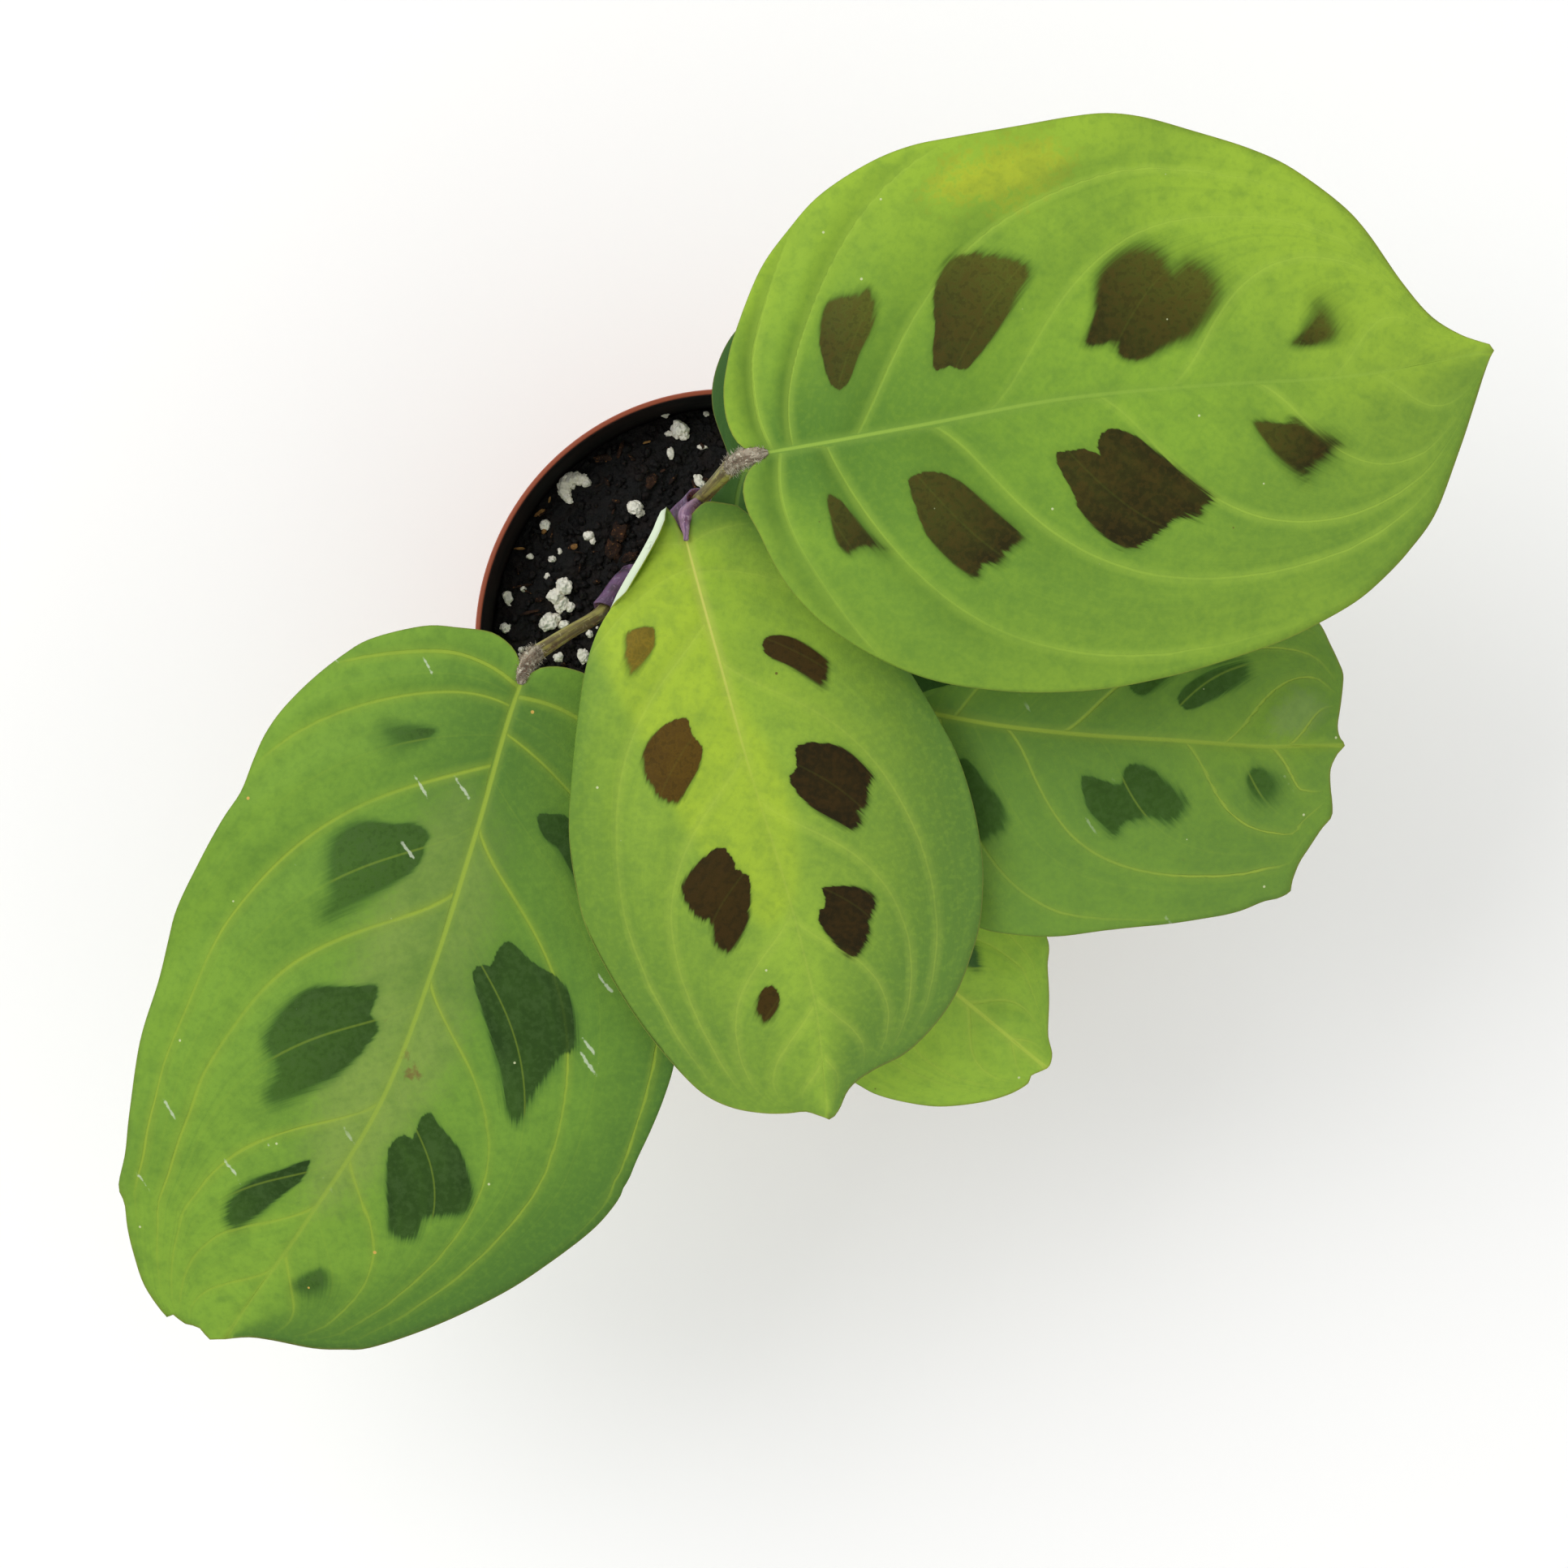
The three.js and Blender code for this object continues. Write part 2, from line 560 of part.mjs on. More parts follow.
// A pulvinus: the swollen joint that ends just short of the blade's base
function pulvinus(name, { from, bend, radii, lift = 0 }) {
  const leaf = LEAVES[name];
  const heading = THREE.MathUtils.degToRad(leaf.heading);
  const back = new THREE.Vector3(-Math.cos(heading), -Math.sin(heading), 0);
  const end = vector(leaf.base).addScaledVector(back, GAP + BLADE_THICKNESS / 2);
  end.z += lift;
  const near = vector(bend);
  const points = [vector(from), near, end.clone().lerp(near, 0.25), end].map((spot) => spot.toArray());
  const colour = name === 'centre' ? COLOURS.pulvinusPurple : COLOURS.pulvinus;
  return mesh(`pulvinus_${name}`, stalk(points, radii), colour, 0.9);
}

const plant = new THREE.Group();
plant.add(pot(), soil());
for (const [name, spec] of Object.entries(SHOOTS)) plant.add(shoot(name, spec));
for (const [name, { points, radii }] of Object.entries(STALKS)) {
  plant.add(mesh(name, stalk(points, radii), COLOURS.petiole, 0.6));
}
for (const [name, spec] of Object.entries(PULVINI)) plant.add(pulvinus(name, spec));
for (const [name, leaf] of Object.entries(LEAVES)) plant.add(blade(name, leaf));

export default plant;
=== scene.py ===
import functools
import math
import random

import bmesh
import bpy
import numpy as np
from mathutils import Matrix, Vector, noise


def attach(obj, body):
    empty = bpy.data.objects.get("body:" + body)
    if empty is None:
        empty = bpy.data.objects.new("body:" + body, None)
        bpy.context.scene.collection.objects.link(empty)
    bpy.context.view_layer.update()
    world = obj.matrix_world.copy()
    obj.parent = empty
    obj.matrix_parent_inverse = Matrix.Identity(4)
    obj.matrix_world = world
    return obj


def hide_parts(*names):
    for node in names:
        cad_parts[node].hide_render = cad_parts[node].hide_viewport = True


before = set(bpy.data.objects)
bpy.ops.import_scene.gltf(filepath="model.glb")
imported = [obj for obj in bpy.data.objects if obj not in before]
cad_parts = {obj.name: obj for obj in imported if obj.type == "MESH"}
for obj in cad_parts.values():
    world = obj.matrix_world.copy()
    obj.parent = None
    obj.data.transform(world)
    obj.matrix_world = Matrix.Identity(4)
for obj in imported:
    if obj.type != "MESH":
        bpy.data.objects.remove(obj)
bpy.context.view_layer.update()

mm = 0.001
fullTurn = 2 * math.pi
mergeDistance = 1e-6

# The photograph looks straight down on the plant, with +X to its right and +Y to its top
view = {
    "place": (9.04, -22.99, 670.0),
    "lens": 85.0,
    "sensor": 36.0,
    "clipStart": 0.01,
}


def makeCamera():
    data = bpy.data.cameras.new("photoCamera")
    data.lens = view["lens"]
    data.sensor_width = view["sensor"]
    data.clip_start = view["clipStart"]
    camera = bpy.data.objects.new("photoCamera", data)
    camera.location = Vector(view["place"]) * mm
    bpy.context.scene.collection.objects.link(camera)
    bpy.context.scene.camera = camera


makeCamera()


# Small helpers

def toLinear(hexColour):
    values = [int(hexColour[i:i + 2], 16) / 255 for i in (1, 3, 5)]
    return tuple(v / 12.92 if v < 0.04045 else ((v + 0.055) / 1.055) ** 2.4 for v in values) + (1.0,)


def newMaterial(name):
    # A new material, and addNode bound to its own nodes
    material = bpy.data.materials.new(name)
    material.use_nodes = True
    material.node_tree.nodes.clear()
    return material, functools.partial(addNode, material.node_tree)


def addNode(tree, kind, inputs=(), out=0, **settings):
    # Inputs come in order or by name, and the result is one of the node's outputs
    node = tree.nodes.new("ShaderNode" + kind)
    for name, value in settings.items():
        setattr(node, name, value)
    inOrder = [socket for socket in node.inputs if socket.enabled]
    for key, value in inputs.items() if isinstance(inputs, dict) else enumerate(inputs):
        socket = node.inputs[key] if isinstance(key, str) else inOrder[key]
        if isinstance(value, bpy.types.NodeSocket):
            tree.links.new(value, socket)
        else:
            socket.default_value = value
    results = [socket for socket in node.outputs if socket.enabled]
    return node.outputs[out] if isinstance(out, str) else (results + [None])[out]


def layColours(add, colour, layers):
    # Lays colours over the first one. A layer is (value, low, high, strength, colour): it shows from
    # where the value is low, and has its strength where it is high.
    for value, low, high, strength, hexColour in layers:
        share = add("MapRange", [value, low, high, 0.0, strength], interpolation_type="SMOOTHSTEP")
        colour = add("Mix", [share, colour, toLinear(hexColour)], data_type="RGBA")
    return colour


def finishSurface(add, colour, rough, bumps, **fixed):
    # bumps is a list of (height in mm, strength), laid over each other
    inputs = {"Base Color": colour, "Roughness": rough}
    for height, strength in bumps:
        bump = {"Height": height, "Strength": strength, "Distance": mm}
        if "Normal" in inputs:
            bump["Normal"] = inputs["Normal"]
        inputs["Normal"] = add("Bump", bump)
    inputs.update({name.replace("_", " "): value for name, value in fixed.items()})
    add("OutputMaterial", {"Surface": add("BsdfPrincipled", inputs)})


def makePiece(name, bm, materials, nodes=()):
    for face in bm.faces:
        face.smooth = True
    mesh = bpy.data.meshes.new(name)
    bm.to_mesh(mesh)
    bm.free()
    piece = bpy.data.objects.new(name, mesh)
    for material in materials:
        mesh.materials.append(material)
    bpy.context.scene.collection.objects.link(piece)
    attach(piece, "root")
    if nodes:
        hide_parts(*nodes)
    return piece


def spinProfile(profile, turns, rounding=0.0):
    # Spins (radius, height) corners in mm round Z, with the corners rounded first if asked
    bm = bmesh.new()
    verts = [bm.verts.new((r * mm, 0, z * mm)) for r, z in profile]
    for a, b in zip(verts, verts[1:]):
        bm.edges.new((a, b))
    if rounding:
        bmesh.ops.bevel(bm, geom=verts[1:-1], offset=rounding * mm, segments=3, affect="VERTICES",
                        profile=0.5, material=-1)
    bmesh.ops.spin(bm, geom=bm.verts[:] + bm.edges[:], cent=(0, 0, 0), axis=(0, 0, 1),
                   angle=fullTurn, steps=turns, use_merge=True)
    bmesh.ops.remove_doubles(bm, verts=bm.verts, dist=mergeDistance)
    return bm


def smoothThrough(points, shares):
    # A smooth line through points at equal steps, read at shares from 0 to 1
    points = np.asarray(points, dtype=float)
    if points.ndim == 1:
        return smoothThrough(points[:, None], shares)[..., 0]
    place = np.clip(np.asarray(shares, dtype=float), 0, 1) * (len(points) - 1)
    at = np.minimum(place.astype(int), len(points) - 2)
    t = (place - at)[..., None]
    p0, p1 = points[np.maximum(at - 1, 0)], points[at]
    p2, p3 = points[at + 1], points[np.minimum(at + 2, len(points) - 1)]
    v0, v1 = (p2 - p0) / 2, (p3 - p1) / 2
    return (2 * p1 - 2 * p2 + v0 + v1) * t ** 3 + (3 * p2 - 3 * p1 - 2 * v0 - v1) * t ** 2 + v0 * t + p1


def evenlyThrough(points, shares):
    # The same line, read at shares of its length, which is measured in 600 steps
    steps = np.linspace(0, 1, 600)
    line = smoothThrough(points, steps)
    length = np.concatenate([[0], np.cumsum(np.linalg.norm(np.diff(line, axis=0), axis=1))])
    return smoothThrough(points, np.interp(shares, length / length[-1], steps))


def easeStep(value, low, high):
    t = np.clip((value - low) / (high - low), 0, 1)
    return t * t * (3 - 2 * t)


# Pot: thin injection-moulded polypropylene, terracotta coloured. Sizes are in mm, pattern scales per metre.
potParts = {
    "height": 72.0,
    "rimRadius": 41.0,
    "collarHeight": 14.0,
    "collarStep": 1.6,
    "collarDraft": 1.0,
    "footRadius": 28.0,
    "footRound": 0.8,
    "lipRound": (0.3, 0.9),
    "wall": 1.2,
    "padRadius": 9.0,
    "channelDepth": 1.2,
    "channelSlope": 1.2,
    "channelOuter": 23.5,
    "drainHoles": 8,
    "drainRadius": 3.0,
    "drainCircle": 16.5,
    "edgeRound": 0.35,
    "turns": 144,
    "insideShadeFrom": 58.4,  # the inner wall is painted near-black above this height, as its shade
    "mottleScale": 90.0,  # clouds of 11 mm
    "grainScale": 1400.0,  # moulding grain of 0.7 mm
    "scuffScale": (60.0, 60.0, 900.0),  # turning marks 1 mm wide and 17 mm long
    "runScale": (260.0, 260.0, 22.0),  # water marks 4 mm wide and 45 mm long
    "colour": "#9C4E34",
    "lighter": "#A6593D",
    "rubbed": "#B87052",
    "lip": "#873B19",
    "inside": "#080605",
    "dust": "#B58C74",
}


def innerRadius(height):
    p = potParts
    top = p["rimRadius"] - p["collarStep"] - p["wall"] - p["collarDraft"]
    share = height / (p["height"] - p["collarHeight"])
    return p["footRadius"] - p["wall"] + (top - p["footRadius"] + p["wall"]) * share


def potPlastic():
    # Moulded polypropylene: satin, faintly mottled, darker along the top of the lip, scuffed and
    # water-marked down its side, and painted near-black inside the lip as shade
    p = potParts
    material, add = newMaterial("mouldedPolypropylene")
    place = add("TexCoord", out="Object")
    height = add("SeparateXYZ", [place], out=2)
    mottle = add("TexNoise", {"Vector": place, "Scale": p["mottleScale"], "Detail": 5.0})
    grain = add("TexNoise", {"Vector": place, "Scale": p["grainScale"], "Detail": 2.0})
    scuffPlace = add("Mapping", {"Vector": place, "Scale": p["scuffScale"]})
    scuff = add("TexNoise", {"Vector": scuffPlace, "Scale": 1.0, "Detail": 3.0})
    runPlace = add("Mapping", {"Vector": place, "Scale": p["runScale"]})
    runs = add("TexNoise", {"Vector": runPlace, "Scale": 1.0, "Detail": 4.0})
    across = add("VectorMath", [place, (1.0, 1.0, 0.0)], operation="MULTIPLY")
    radius = add("VectorMath", [across], operation="LENGTH")
    insideShadeShare = add("MapRange", [mottle, 0.3, 0.6, 0.965, 1.0])
    insideShadeFrom, lipEdge, top = p["insideShadeFrom"] * mm, (p["rimRadius"] - 0.75) * mm, p["height"] * mm
    insideLip = add("MapRange", [height, insideShadeFrom, insideShadeFrom + 0.4 * mm, 0.0, insideShadeShare],
                    interpolation_type="SMOOTHSTEP")
    lowDust = add("MapRange", [height, 0.0, 30 * mm, 0.35, 0.06])
    colour = layColours(add, toLinear(p["colour"]), [
        (mottle, 0.35, 0.7, 0.6, p["lighter"]),
        (runs, 0.52, 0.78, lowDust, p["dust"]),
        (scuff, 0.58, 0.75, 0.12, p["rubbed"]),
        (height, top - 0.6 * mm, top - 0.1 * mm, 0.85, p["lip"]),
        # painted shade: the inner wall is coloured near-black below the lip
        (radius, lipEdge, lipEdge - 0.3 * mm, insideLip, p["inside"]),
    ])
    rough = add("MapRange", [scuff, 0.3, 0.7, 0.42, 0.54])
    rough = add("MapRange", [radius, lipEdge, lipEdge - 0.3 * mm, rough, 0.95])
    finishSurface(add, colour, rough, [(grain, 0.02), (scuff, 0.05)], Specular_IOR_Level=0.3)
    return material


def makePot():
    p = potParts
    shoulder = p["height"] - p["collarHeight"]
    collarFoot = p["rimRadius"] - p["collarDraft"]
    floor = p["channelDepth"] + p["wall"]
    lipIn, lipDown = p["lipRound"]
    bm = spinProfile([
        (0, 0), (p["padRadius"], 0), (p["padRadius"] + p["channelSlope"], p["channelDepth"]),
        (p["channelOuter"], p["channelDepth"]), (p["channelOuter"] + p["channelSlope"], 0),
        (p["footRadius"] - p["footRound"], 0), (p["footRadius"], p["footRound"]),
        (innerRadius(shoulder - 1) + p["wall"], shoulder - 1), (collarFoot, shoulder),
        (p["rimRadius"], p["height"] - lipDown), (p["rimRadius"] - lipIn, p["height"]),
        (p["rimRadius"] - p["wall"], p["height"]), (collarFoot - p["wall"], shoulder + 1.4),
        (innerRadius(shoulder - 1.5), shoulder - 1.5), (innerRadius(floor + 0.8), floor + 0.8),
        (innerRadius(floor) - 0.8, floor), (0, floor),
    ], p["turns"], p["edgeRound"])
    bmesh.ops.recalc_face_normals(bm, faces=bm.faces)
    piece = makePiece("nurseryPot", bm, [potPlastic()], ["pot"])

    holes = bmesh.new()
    for i in range(p["drainHoles"]):
        angle = (i + 0.5) * fullTurn / p["drainHoles"]
        spot = Vector((math.cos(angle), math.sin(angle), 0)) * p["drainCircle"] * mm
        bmesh.ops.create_cone(holes, cap_ends=True, segments=32, radius1=p["drainRadius"] * mm,
                              radius2=p["drainRadius"] * mm, depth=4 * floor * mm,
                              matrix=Matrix.Translation(spot))
    cutterMesh = bpy.data.meshes.new("drainCutter")
    holes.to_mesh(cutterMesh)
    holes.free()
    cutter = bpy.data.objects.new("drainCutter", cutterMesh)
    bpy.context.scene.collection.objects.link(cutter)
    cut = piece.modifiers.new("drain", "BOOLEAN")
    cut.object = cutter
    cut.operation = "DIFFERENCE"
    cut.solver = "EXACT"
    shaped = bpy.data.meshes.new_from_object(piece.evaluated_get(bpy.context.evaluated_depsgraph_get()))
    piece.modifiers.clear()
    piece.data = shaped
    bpy.data.objects.remove(cutter)


makePot()
print("pot made")


# Soil: dark peaty mix with white perlite, bark crumbs and fibres
soilParts = {
    "level": 63.6,
    "relief": 0.55,
    "settled": 1.2,
    "settledWidth": 4.0,
    "heap": 1.2,
    "heapSpread": 5.5,
    "crumble": 0.45,
    "gap": 0.15,
    "rings": 76,
    "turns": 200,
    "crowns": [(-8.5, 10.5, 3.6), (6.0, -6.0, 3.0)],  # x, y and radius of the ground that the shoots take
    "crumbs": 2600,
    "crumbSizes": (0.28, 0.75),  # the least, and how much more the largest has
    "slivers": 150,
    "sliverLengths": (1.2, 2.6),
    "sliverWidths": (0.16, 0.3),
    "smallPerlite": 95,
    "perliteSizes": (0.25, 0.95),
    "seed": 11,
    # The colours of each part of the mix, its roughness, and the scale of its patches per metre
    "moistPeat": (("#0D0D0D", "#191412", "#1E1611"), 0.6, 320.0),  # patches of 3 mm
    "peatCrumb": (("#0D0D0D", "#191412", "#35221A"), 0.55, 190.0),  # 5 mm, so a crumb has nearly one tone
    "barkFibre": (("#20150F", "#3A2519", "#8A5E34"), 0.7, 420.0),  # 2.4 mm
    "paleStraw": (("#7A5630", "#A67E48", "#C9A468"), 0.7, 420.0),
    "perlite": "#FFF8E6",
    "perliteDust": "#B3A08E",
    "perlitePits": "#E6E0D4",
    "grainScale": 2600.0,  # peat grains of 0.4 mm
    "cellScale": 900.0,  # crumbs of 1 mm
    "pitScale": 1900.0,  # perlite pores of 0.5 mm
    "dustScale": 700.0,  # dust patches of 1.4 mm
}
soilRadius = potParts["rimRadius"] - potParts["collarDraft"] - potParts["wall"] - soilParts["gap"]

# Perlite seen in the open quarter of the pot: x, y, half length, half width, turn in degrees.
# The larger lumps are made of several that overlap.
perliteSeen = [
    (-23.3, 26.4, 0.85, 0.75, 20), (-24.1, 26.9, 1.05, 0.95, 30), (-25.2, 27.1, 1.25, 1.15, 0),
    (-26.2, 26.7, 1.4, 1.25, 40), (-26.9, 25.9, 1.35, 1.2, 80), (-26.9, 24.9, 1.15, 1, 90),
    (-26.5, 24, 0.85, 0.8, 120), (-26.1, 23.4, 0.6, 0.55, 0), (-27, 9.4, 1.5, 1.3, 30),
    (-28.4, 7.8, 1.3, 1.2, 0), (-27.3, 6.4, 1.4, 1.1, 60), (-26, 6, 0.9, 0.8, 0),
    (-29.5, 3.5, 1.5, 1.4, 50), (-28.3, 4.2, 0.9, 0.8, 0), (-27, 3.2, 0.9, 0.7, 20),
    (-8.1, 35, 1.5, 1.45, 0), (-9.7, 34.4, 0.8, 0.45, 10), (-7.4, 34, 0.9, 0.8, 0),
    (-9.6, 31.2, 0.6, 1, 10), (-4.8, 26.6, 1.25, 0.8, -50), (-5.9, 24.6, 0.6, 0.5, 0),
    (-15.4, 22.2, 1.3, 1.15, 0), (-14.5, 21.3, 0.8, 0.6, 30), (-22.9, 17.6, 0.95, 0.75, 20),
    (-22.3, 16.8, 0.5, 0.6, 0), (-30.1, 19.4, 0.8, 0.9, 0), (-32.6, 14.3, 0.6, 0.5, 0),
    (-28.9, 13.8, 0.6, 0.6, 0), (-27.7, 15.1, 0.4, 0.5, 0), (-29.7, 10.9, 0.5, 0.6, 0),
    (-33.7, 9, 0.5, 0.5, 0), (-36.2, 7.5, 0.8, 1.2, 20), (-36.6, 2.6, 1, 0.8, 0), (-23.8, -2, 0.9, 1.3, 10),
    (-27.9, -2.3, 0.8, 0.9, 0), (-22.8, 1.6, 0.6, 0.6, 0), (-34, -1, 0.5, 0.5, 0),
    (-10.5, 37.6, 0.7, 0.5, 0), (-3.7, 37.6, 0.5, 0.5, 0), (-4.4, 32.2, 0.8, 0.4, 0),
]

# Bark chips seen there, in the same order
barkSeen = [
    (-17.6, 18.6, 1.9, 1.2, 70), (-18.8, 15.4, 2.2, 1.3, 100), (-16.2, 14.2, 1.3, 0.8, 20),
    (-25.4, 15.9, 0.75, 0.6, 40), (-30.6, 21.4, 0.95, 0.3, 35), (-34, 15.6, 0.9, 0.25, 0),
    (-20.6, 30.4, 1.4, 0.7, 10), (-12.6, 26.6, 1.3, 0.8, 60), (-31, 7.2, 0.7, 0.4, 0),
]

# Pale straw bits seen there
strawSeen = [
    (-31, 21.5, 1.05, 0.28, 35), (-34.3, 15.6, 0.9, 0.22, 0), (-30.2, 18.4, 0.55, 0.4, 60),
    (-25.3, 15.8, 0.6, 0.45, 20), (-29.4, 23.6, 0.5, 0.18, 80), (-13.4, 33, 0.7, 0.2, 15),
]


def soilHeight(x, y):
    s = soilParts
    waves = math.sin(0.31 * x + 0.2) * math.cos(0.27 * y - 0.6) + 0.5 * math.sin(0.62 * x - 0.55 * y)
    height = s["level"] + s["relief"] * waves
    for crownX, crownY, _ in s["crowns"]:
        height += s["heap"] * math.exp(-0.5 * (math.hypot(x - crownX, y - crownY) / s["heapSpread"]) ** 2)
    settled = 1 - easeStep(soilRadius - math.hypot(x, y), 0, s["settledWidth"])
    return height + (s["level"] - s["settled"] - height) * settled


def soilSurface(name):
    # Moist peat: nearly black, brown where it dries, crumbly at every size from 0.4 to 3 mm. Bark
    # and straw are as matt and grainy, in their own colours.
    colours, rough, scale = soilParts[name]
    material, add = newMaterial(name)
    place = add("TexCoord", out="Object")
    coarse = add("TexNoise", {"Vector": place, "Scale": scale, "Detail": 6.0})
    fine = add("TexNoise", {"Vector": place, "Scale": soilParts["grainScale"], "Detail": 4.0})
    cells = add("TexVoronoi", {"Vector": place, "Scale": soilParts["cellScale"]})
    colour = layColours(add, toLinear(colours[0]), [
        (coarse, 0.42, 0.7, 1.0, colours[1]),
        (fine, 0.58, 0.75, 1.0, colours[2]),
    ])
    rough = add("MapRange", [coarse, 0.0, 1.0, rough, rough + 0.2])
    finishSurface(add, colour, rough, [(cells, 0.5), (fine, 0.35)], Specular_IOR_Level=0.2)
    return material


def perliteSurface():
    # Expanded perlite: white glassy foam, pitted all over, dusted with peat
    s = soilParts
    material, add = newMaterial("expandedPerlite")
    place = add("TexCoord", out="Object")
    pits = add("TexVoronoi", {"Vector": place, "Scale": s["pitScale"]})
    dust = add("TexNoise", {"Vector": place, "Scale": s["dustScale"], "Detail": 5.0})
    colour = layColours(add, toLinear(s["perlite"]), [
        (dust, 0.62, 0.85, 0.7, s["perliteDust"]),
        (pits, 0.35, 0.03, 0.5, s["perlitePits"]),
    ])
    finishSurface(add, colour, 0.75, [(pits, 0.4), (dust, 0.25)], Subsurface_Weight=0.1)
    return material


def lump(bm, spot, lift, sizes, turn, detail, seed, rough):
    # A stone worked out of an icosphere: stretched, turned, knocked about and set on the soil
    x, y = spot
    foot = Vector((x, y, soilHeight(x, y) + lift))
    turned = Matrix.Rotation(turn, 4, "Z")
    for vert in bmesh.ops.create_icosphere(bm, subdivisions=detail, radius=1.0)["verts"]:
        out = vert.co.normalized()
        knock = noise.noise(out * 1.3 + Vector((seed, 0, 0)))
        knock += 0.5 * noise.noise(out * 3.1 + Vector((0, seed, 0)))
        co = turned @ Vector([o * size for o, size in zip(out, sizes)]) * (1 + rough * knock)
        vert.co = (co + foot) * mm


def makeSoil():
    s = soilParts
    shoulder = potParts["height"] - potParts["collarHeight"]
    floor = potParts["channelDepth"] + potParts["wall"] + s["gap"]
    foot = innerRadius(floor) - s["gap"]
    profile = [(0, floor), (foot - 1.6, floor), (foot, floor + 1.6),
               (innerRadius(shoulder - 1.5) - s["gap"], shoulder - 1.2), (soilRadius, shoulder + 1.7)]
    profile += [(soilRadius * i / s["rings"], s["level"]) for i in range(s["rings"], -1, -1)]
    bm = spinProfile(profile, s["turns"])
    for vert in bm.verts:
        if vert.co.z > (s["level"] - 0.5) * mm:
            x, y = vert.co.x / mm, vert.co.y / mm
            crumble = s["crumble"] * noise.fractal(Vector((x, y, 0)) * 0.5, 0.8, 2.1, 5)
            vert.co.z = (soilHeight(x, y) + crumble) * mm
    bmesh.ops.recalc_face_normals(bm, faces=bm.faces)
    makePiece("pottingMix", bm, [soilSurface("moistPeat")], ["soil"])

    rng = random.Random(s["seed"])

    def randomSpot(edge):
        while True:
            angle = rng.random() * fullTurn
            distance = (soilRadius - edge) * math.sqrt(rng.random())
            x, y = distance * math.cos(angle), distance * math.sin(angle)
            if all(math.hypot(x - cx, y - cy) > r + edge for cx, cy, r in s["crowns"]):
                return x, y

    def randomSize(least, more, power=3):
        # A higher power makes more of them small
        return least + more * rng.random() ** power

    def randomTurn():
        return rng.random() * 6.28

    bm = bmesh.new()
    for i in range(s["crumbs"]):
        size = randomSize(*s["crumbSizes"])
        spot = randomSpot(size)
        sizes = (size, size * (0.6 + 0.4 * rng.random()), size * 0.7)
        lump(bm, spot, 0.25 * size, sizes, randomTurn(), 1, i, 0.45)
    makePiece("peatCrumbs", bm, [soilSurface("peatCrumb")])

    bm = bmesh.new()
    for i in range(s["slivers"]):
        spot = randomSpot(2.0)
        length, width = randomSize(*s["sliverLengths"], 2), randomSize(*s["sliverWidths"], 1)
        lump(bm, spot, 0.5, (length / 2, width, width * 0.6), randomTurn(), 1, i, 0.3)
    for i, (x, y, long, wide, turn) in enumerate(barkSeen):
        lump(bm, (x, y), 0.35, (long, wide, 0.5 * wide), math.radians(turn), 3, i * 2.3, 0.5)
    makePiece("barkFibres", bm, [soilSurface("barkFibre")])

    bm = bmesh.new()
    for i, (x, y, long, wide, turn) in enumerate(strawSeen):
        lump(bm, (x, y), 0.6, (long, wide, 0.7 * wide), math.radians(turn), 3, i * 1.9, 0.3)
    makePiece("strawBits", bm, [soilSurface("paleStraw")])

    bm = bmesh.new()
    for i, (x, y, long, wide, turn) in enumerate(perliteSeen):
        narrow = min(long, wide)
        detail = 4 if max(long, wide) > 1.0 else 3
        lump(bm, (x, y), 0.5 * narrow, (long, wide, 0.85 * narrow), math.radians(turn), detail, i * 3.7, 0.38)
    for i in range(s["smallPerlite"]):
        x, y = randomSpot(1.5)
        size = randomSize(*s["perliteSizes"])
        # In the open quarter the larger ones are listed
        if x < 0 and y > -4 and size > 0.35:
            continue
        lump(bm, (x, y), 0.2 * size, (size, size * 0.8, size * 0.7), randomTurn(), 2, 50 + i, 0.35)
    makePiece("perliteLumps", bm, [perliteSurface()])


makeSoil()
print("soil made")


# Shoots and stalks: round stems through given points, with their radii, in millimetres. The first
# arm of a shoot is its foot.
shootArms = {
    "shoot_left": [
        ([(-8.5, 10.5, 58), (-8.5, 10.5, 62), (-8.5, 10.5, 66)], [3.5, 3.6, 2.7]),
        ([(-8.5, 10.5, 66), (-9.3, 13.4, 76), (-8.4, 17.6, 87), (-4.4, 20.9, 97)], [2.8, 2.2, 1.95, 1.75]),
        ([(-8.5, 10.5, 65.6), (-11.8, 11.2, 71.6), (-16, 9.8, 78), (-19.3, 5, 83.2)], [2.8, 2, 1.8, 1.7]),
        ([(-8.5, 10.5, 65.6), (-5.4, 13.2, 69.4), (-3.2, 16.4, 73.5), (-1.7, 19, 78.3)],
         [2.6, 1.9, 1.8, 1.8]),
    ],
    "shoot_right": [
        ([(6, -6, 58), (6, -6, 62), (6, -6, 66)], [2.9, 3, 2.4]),
        ([(6, -6, 66), (8.8, -9.4, 73), (12, -12.2, 78), (15.5, -12.9, 84)], [2.5, 2.1, 1.8, 1.65]),
        ([(6, -6, 65.6), (5, -8.6, 68.6), (3.6, -12, 72), (2, -15.3, 75.5)], [2.5, 2, 1.8, 1.8]),
    ],
}

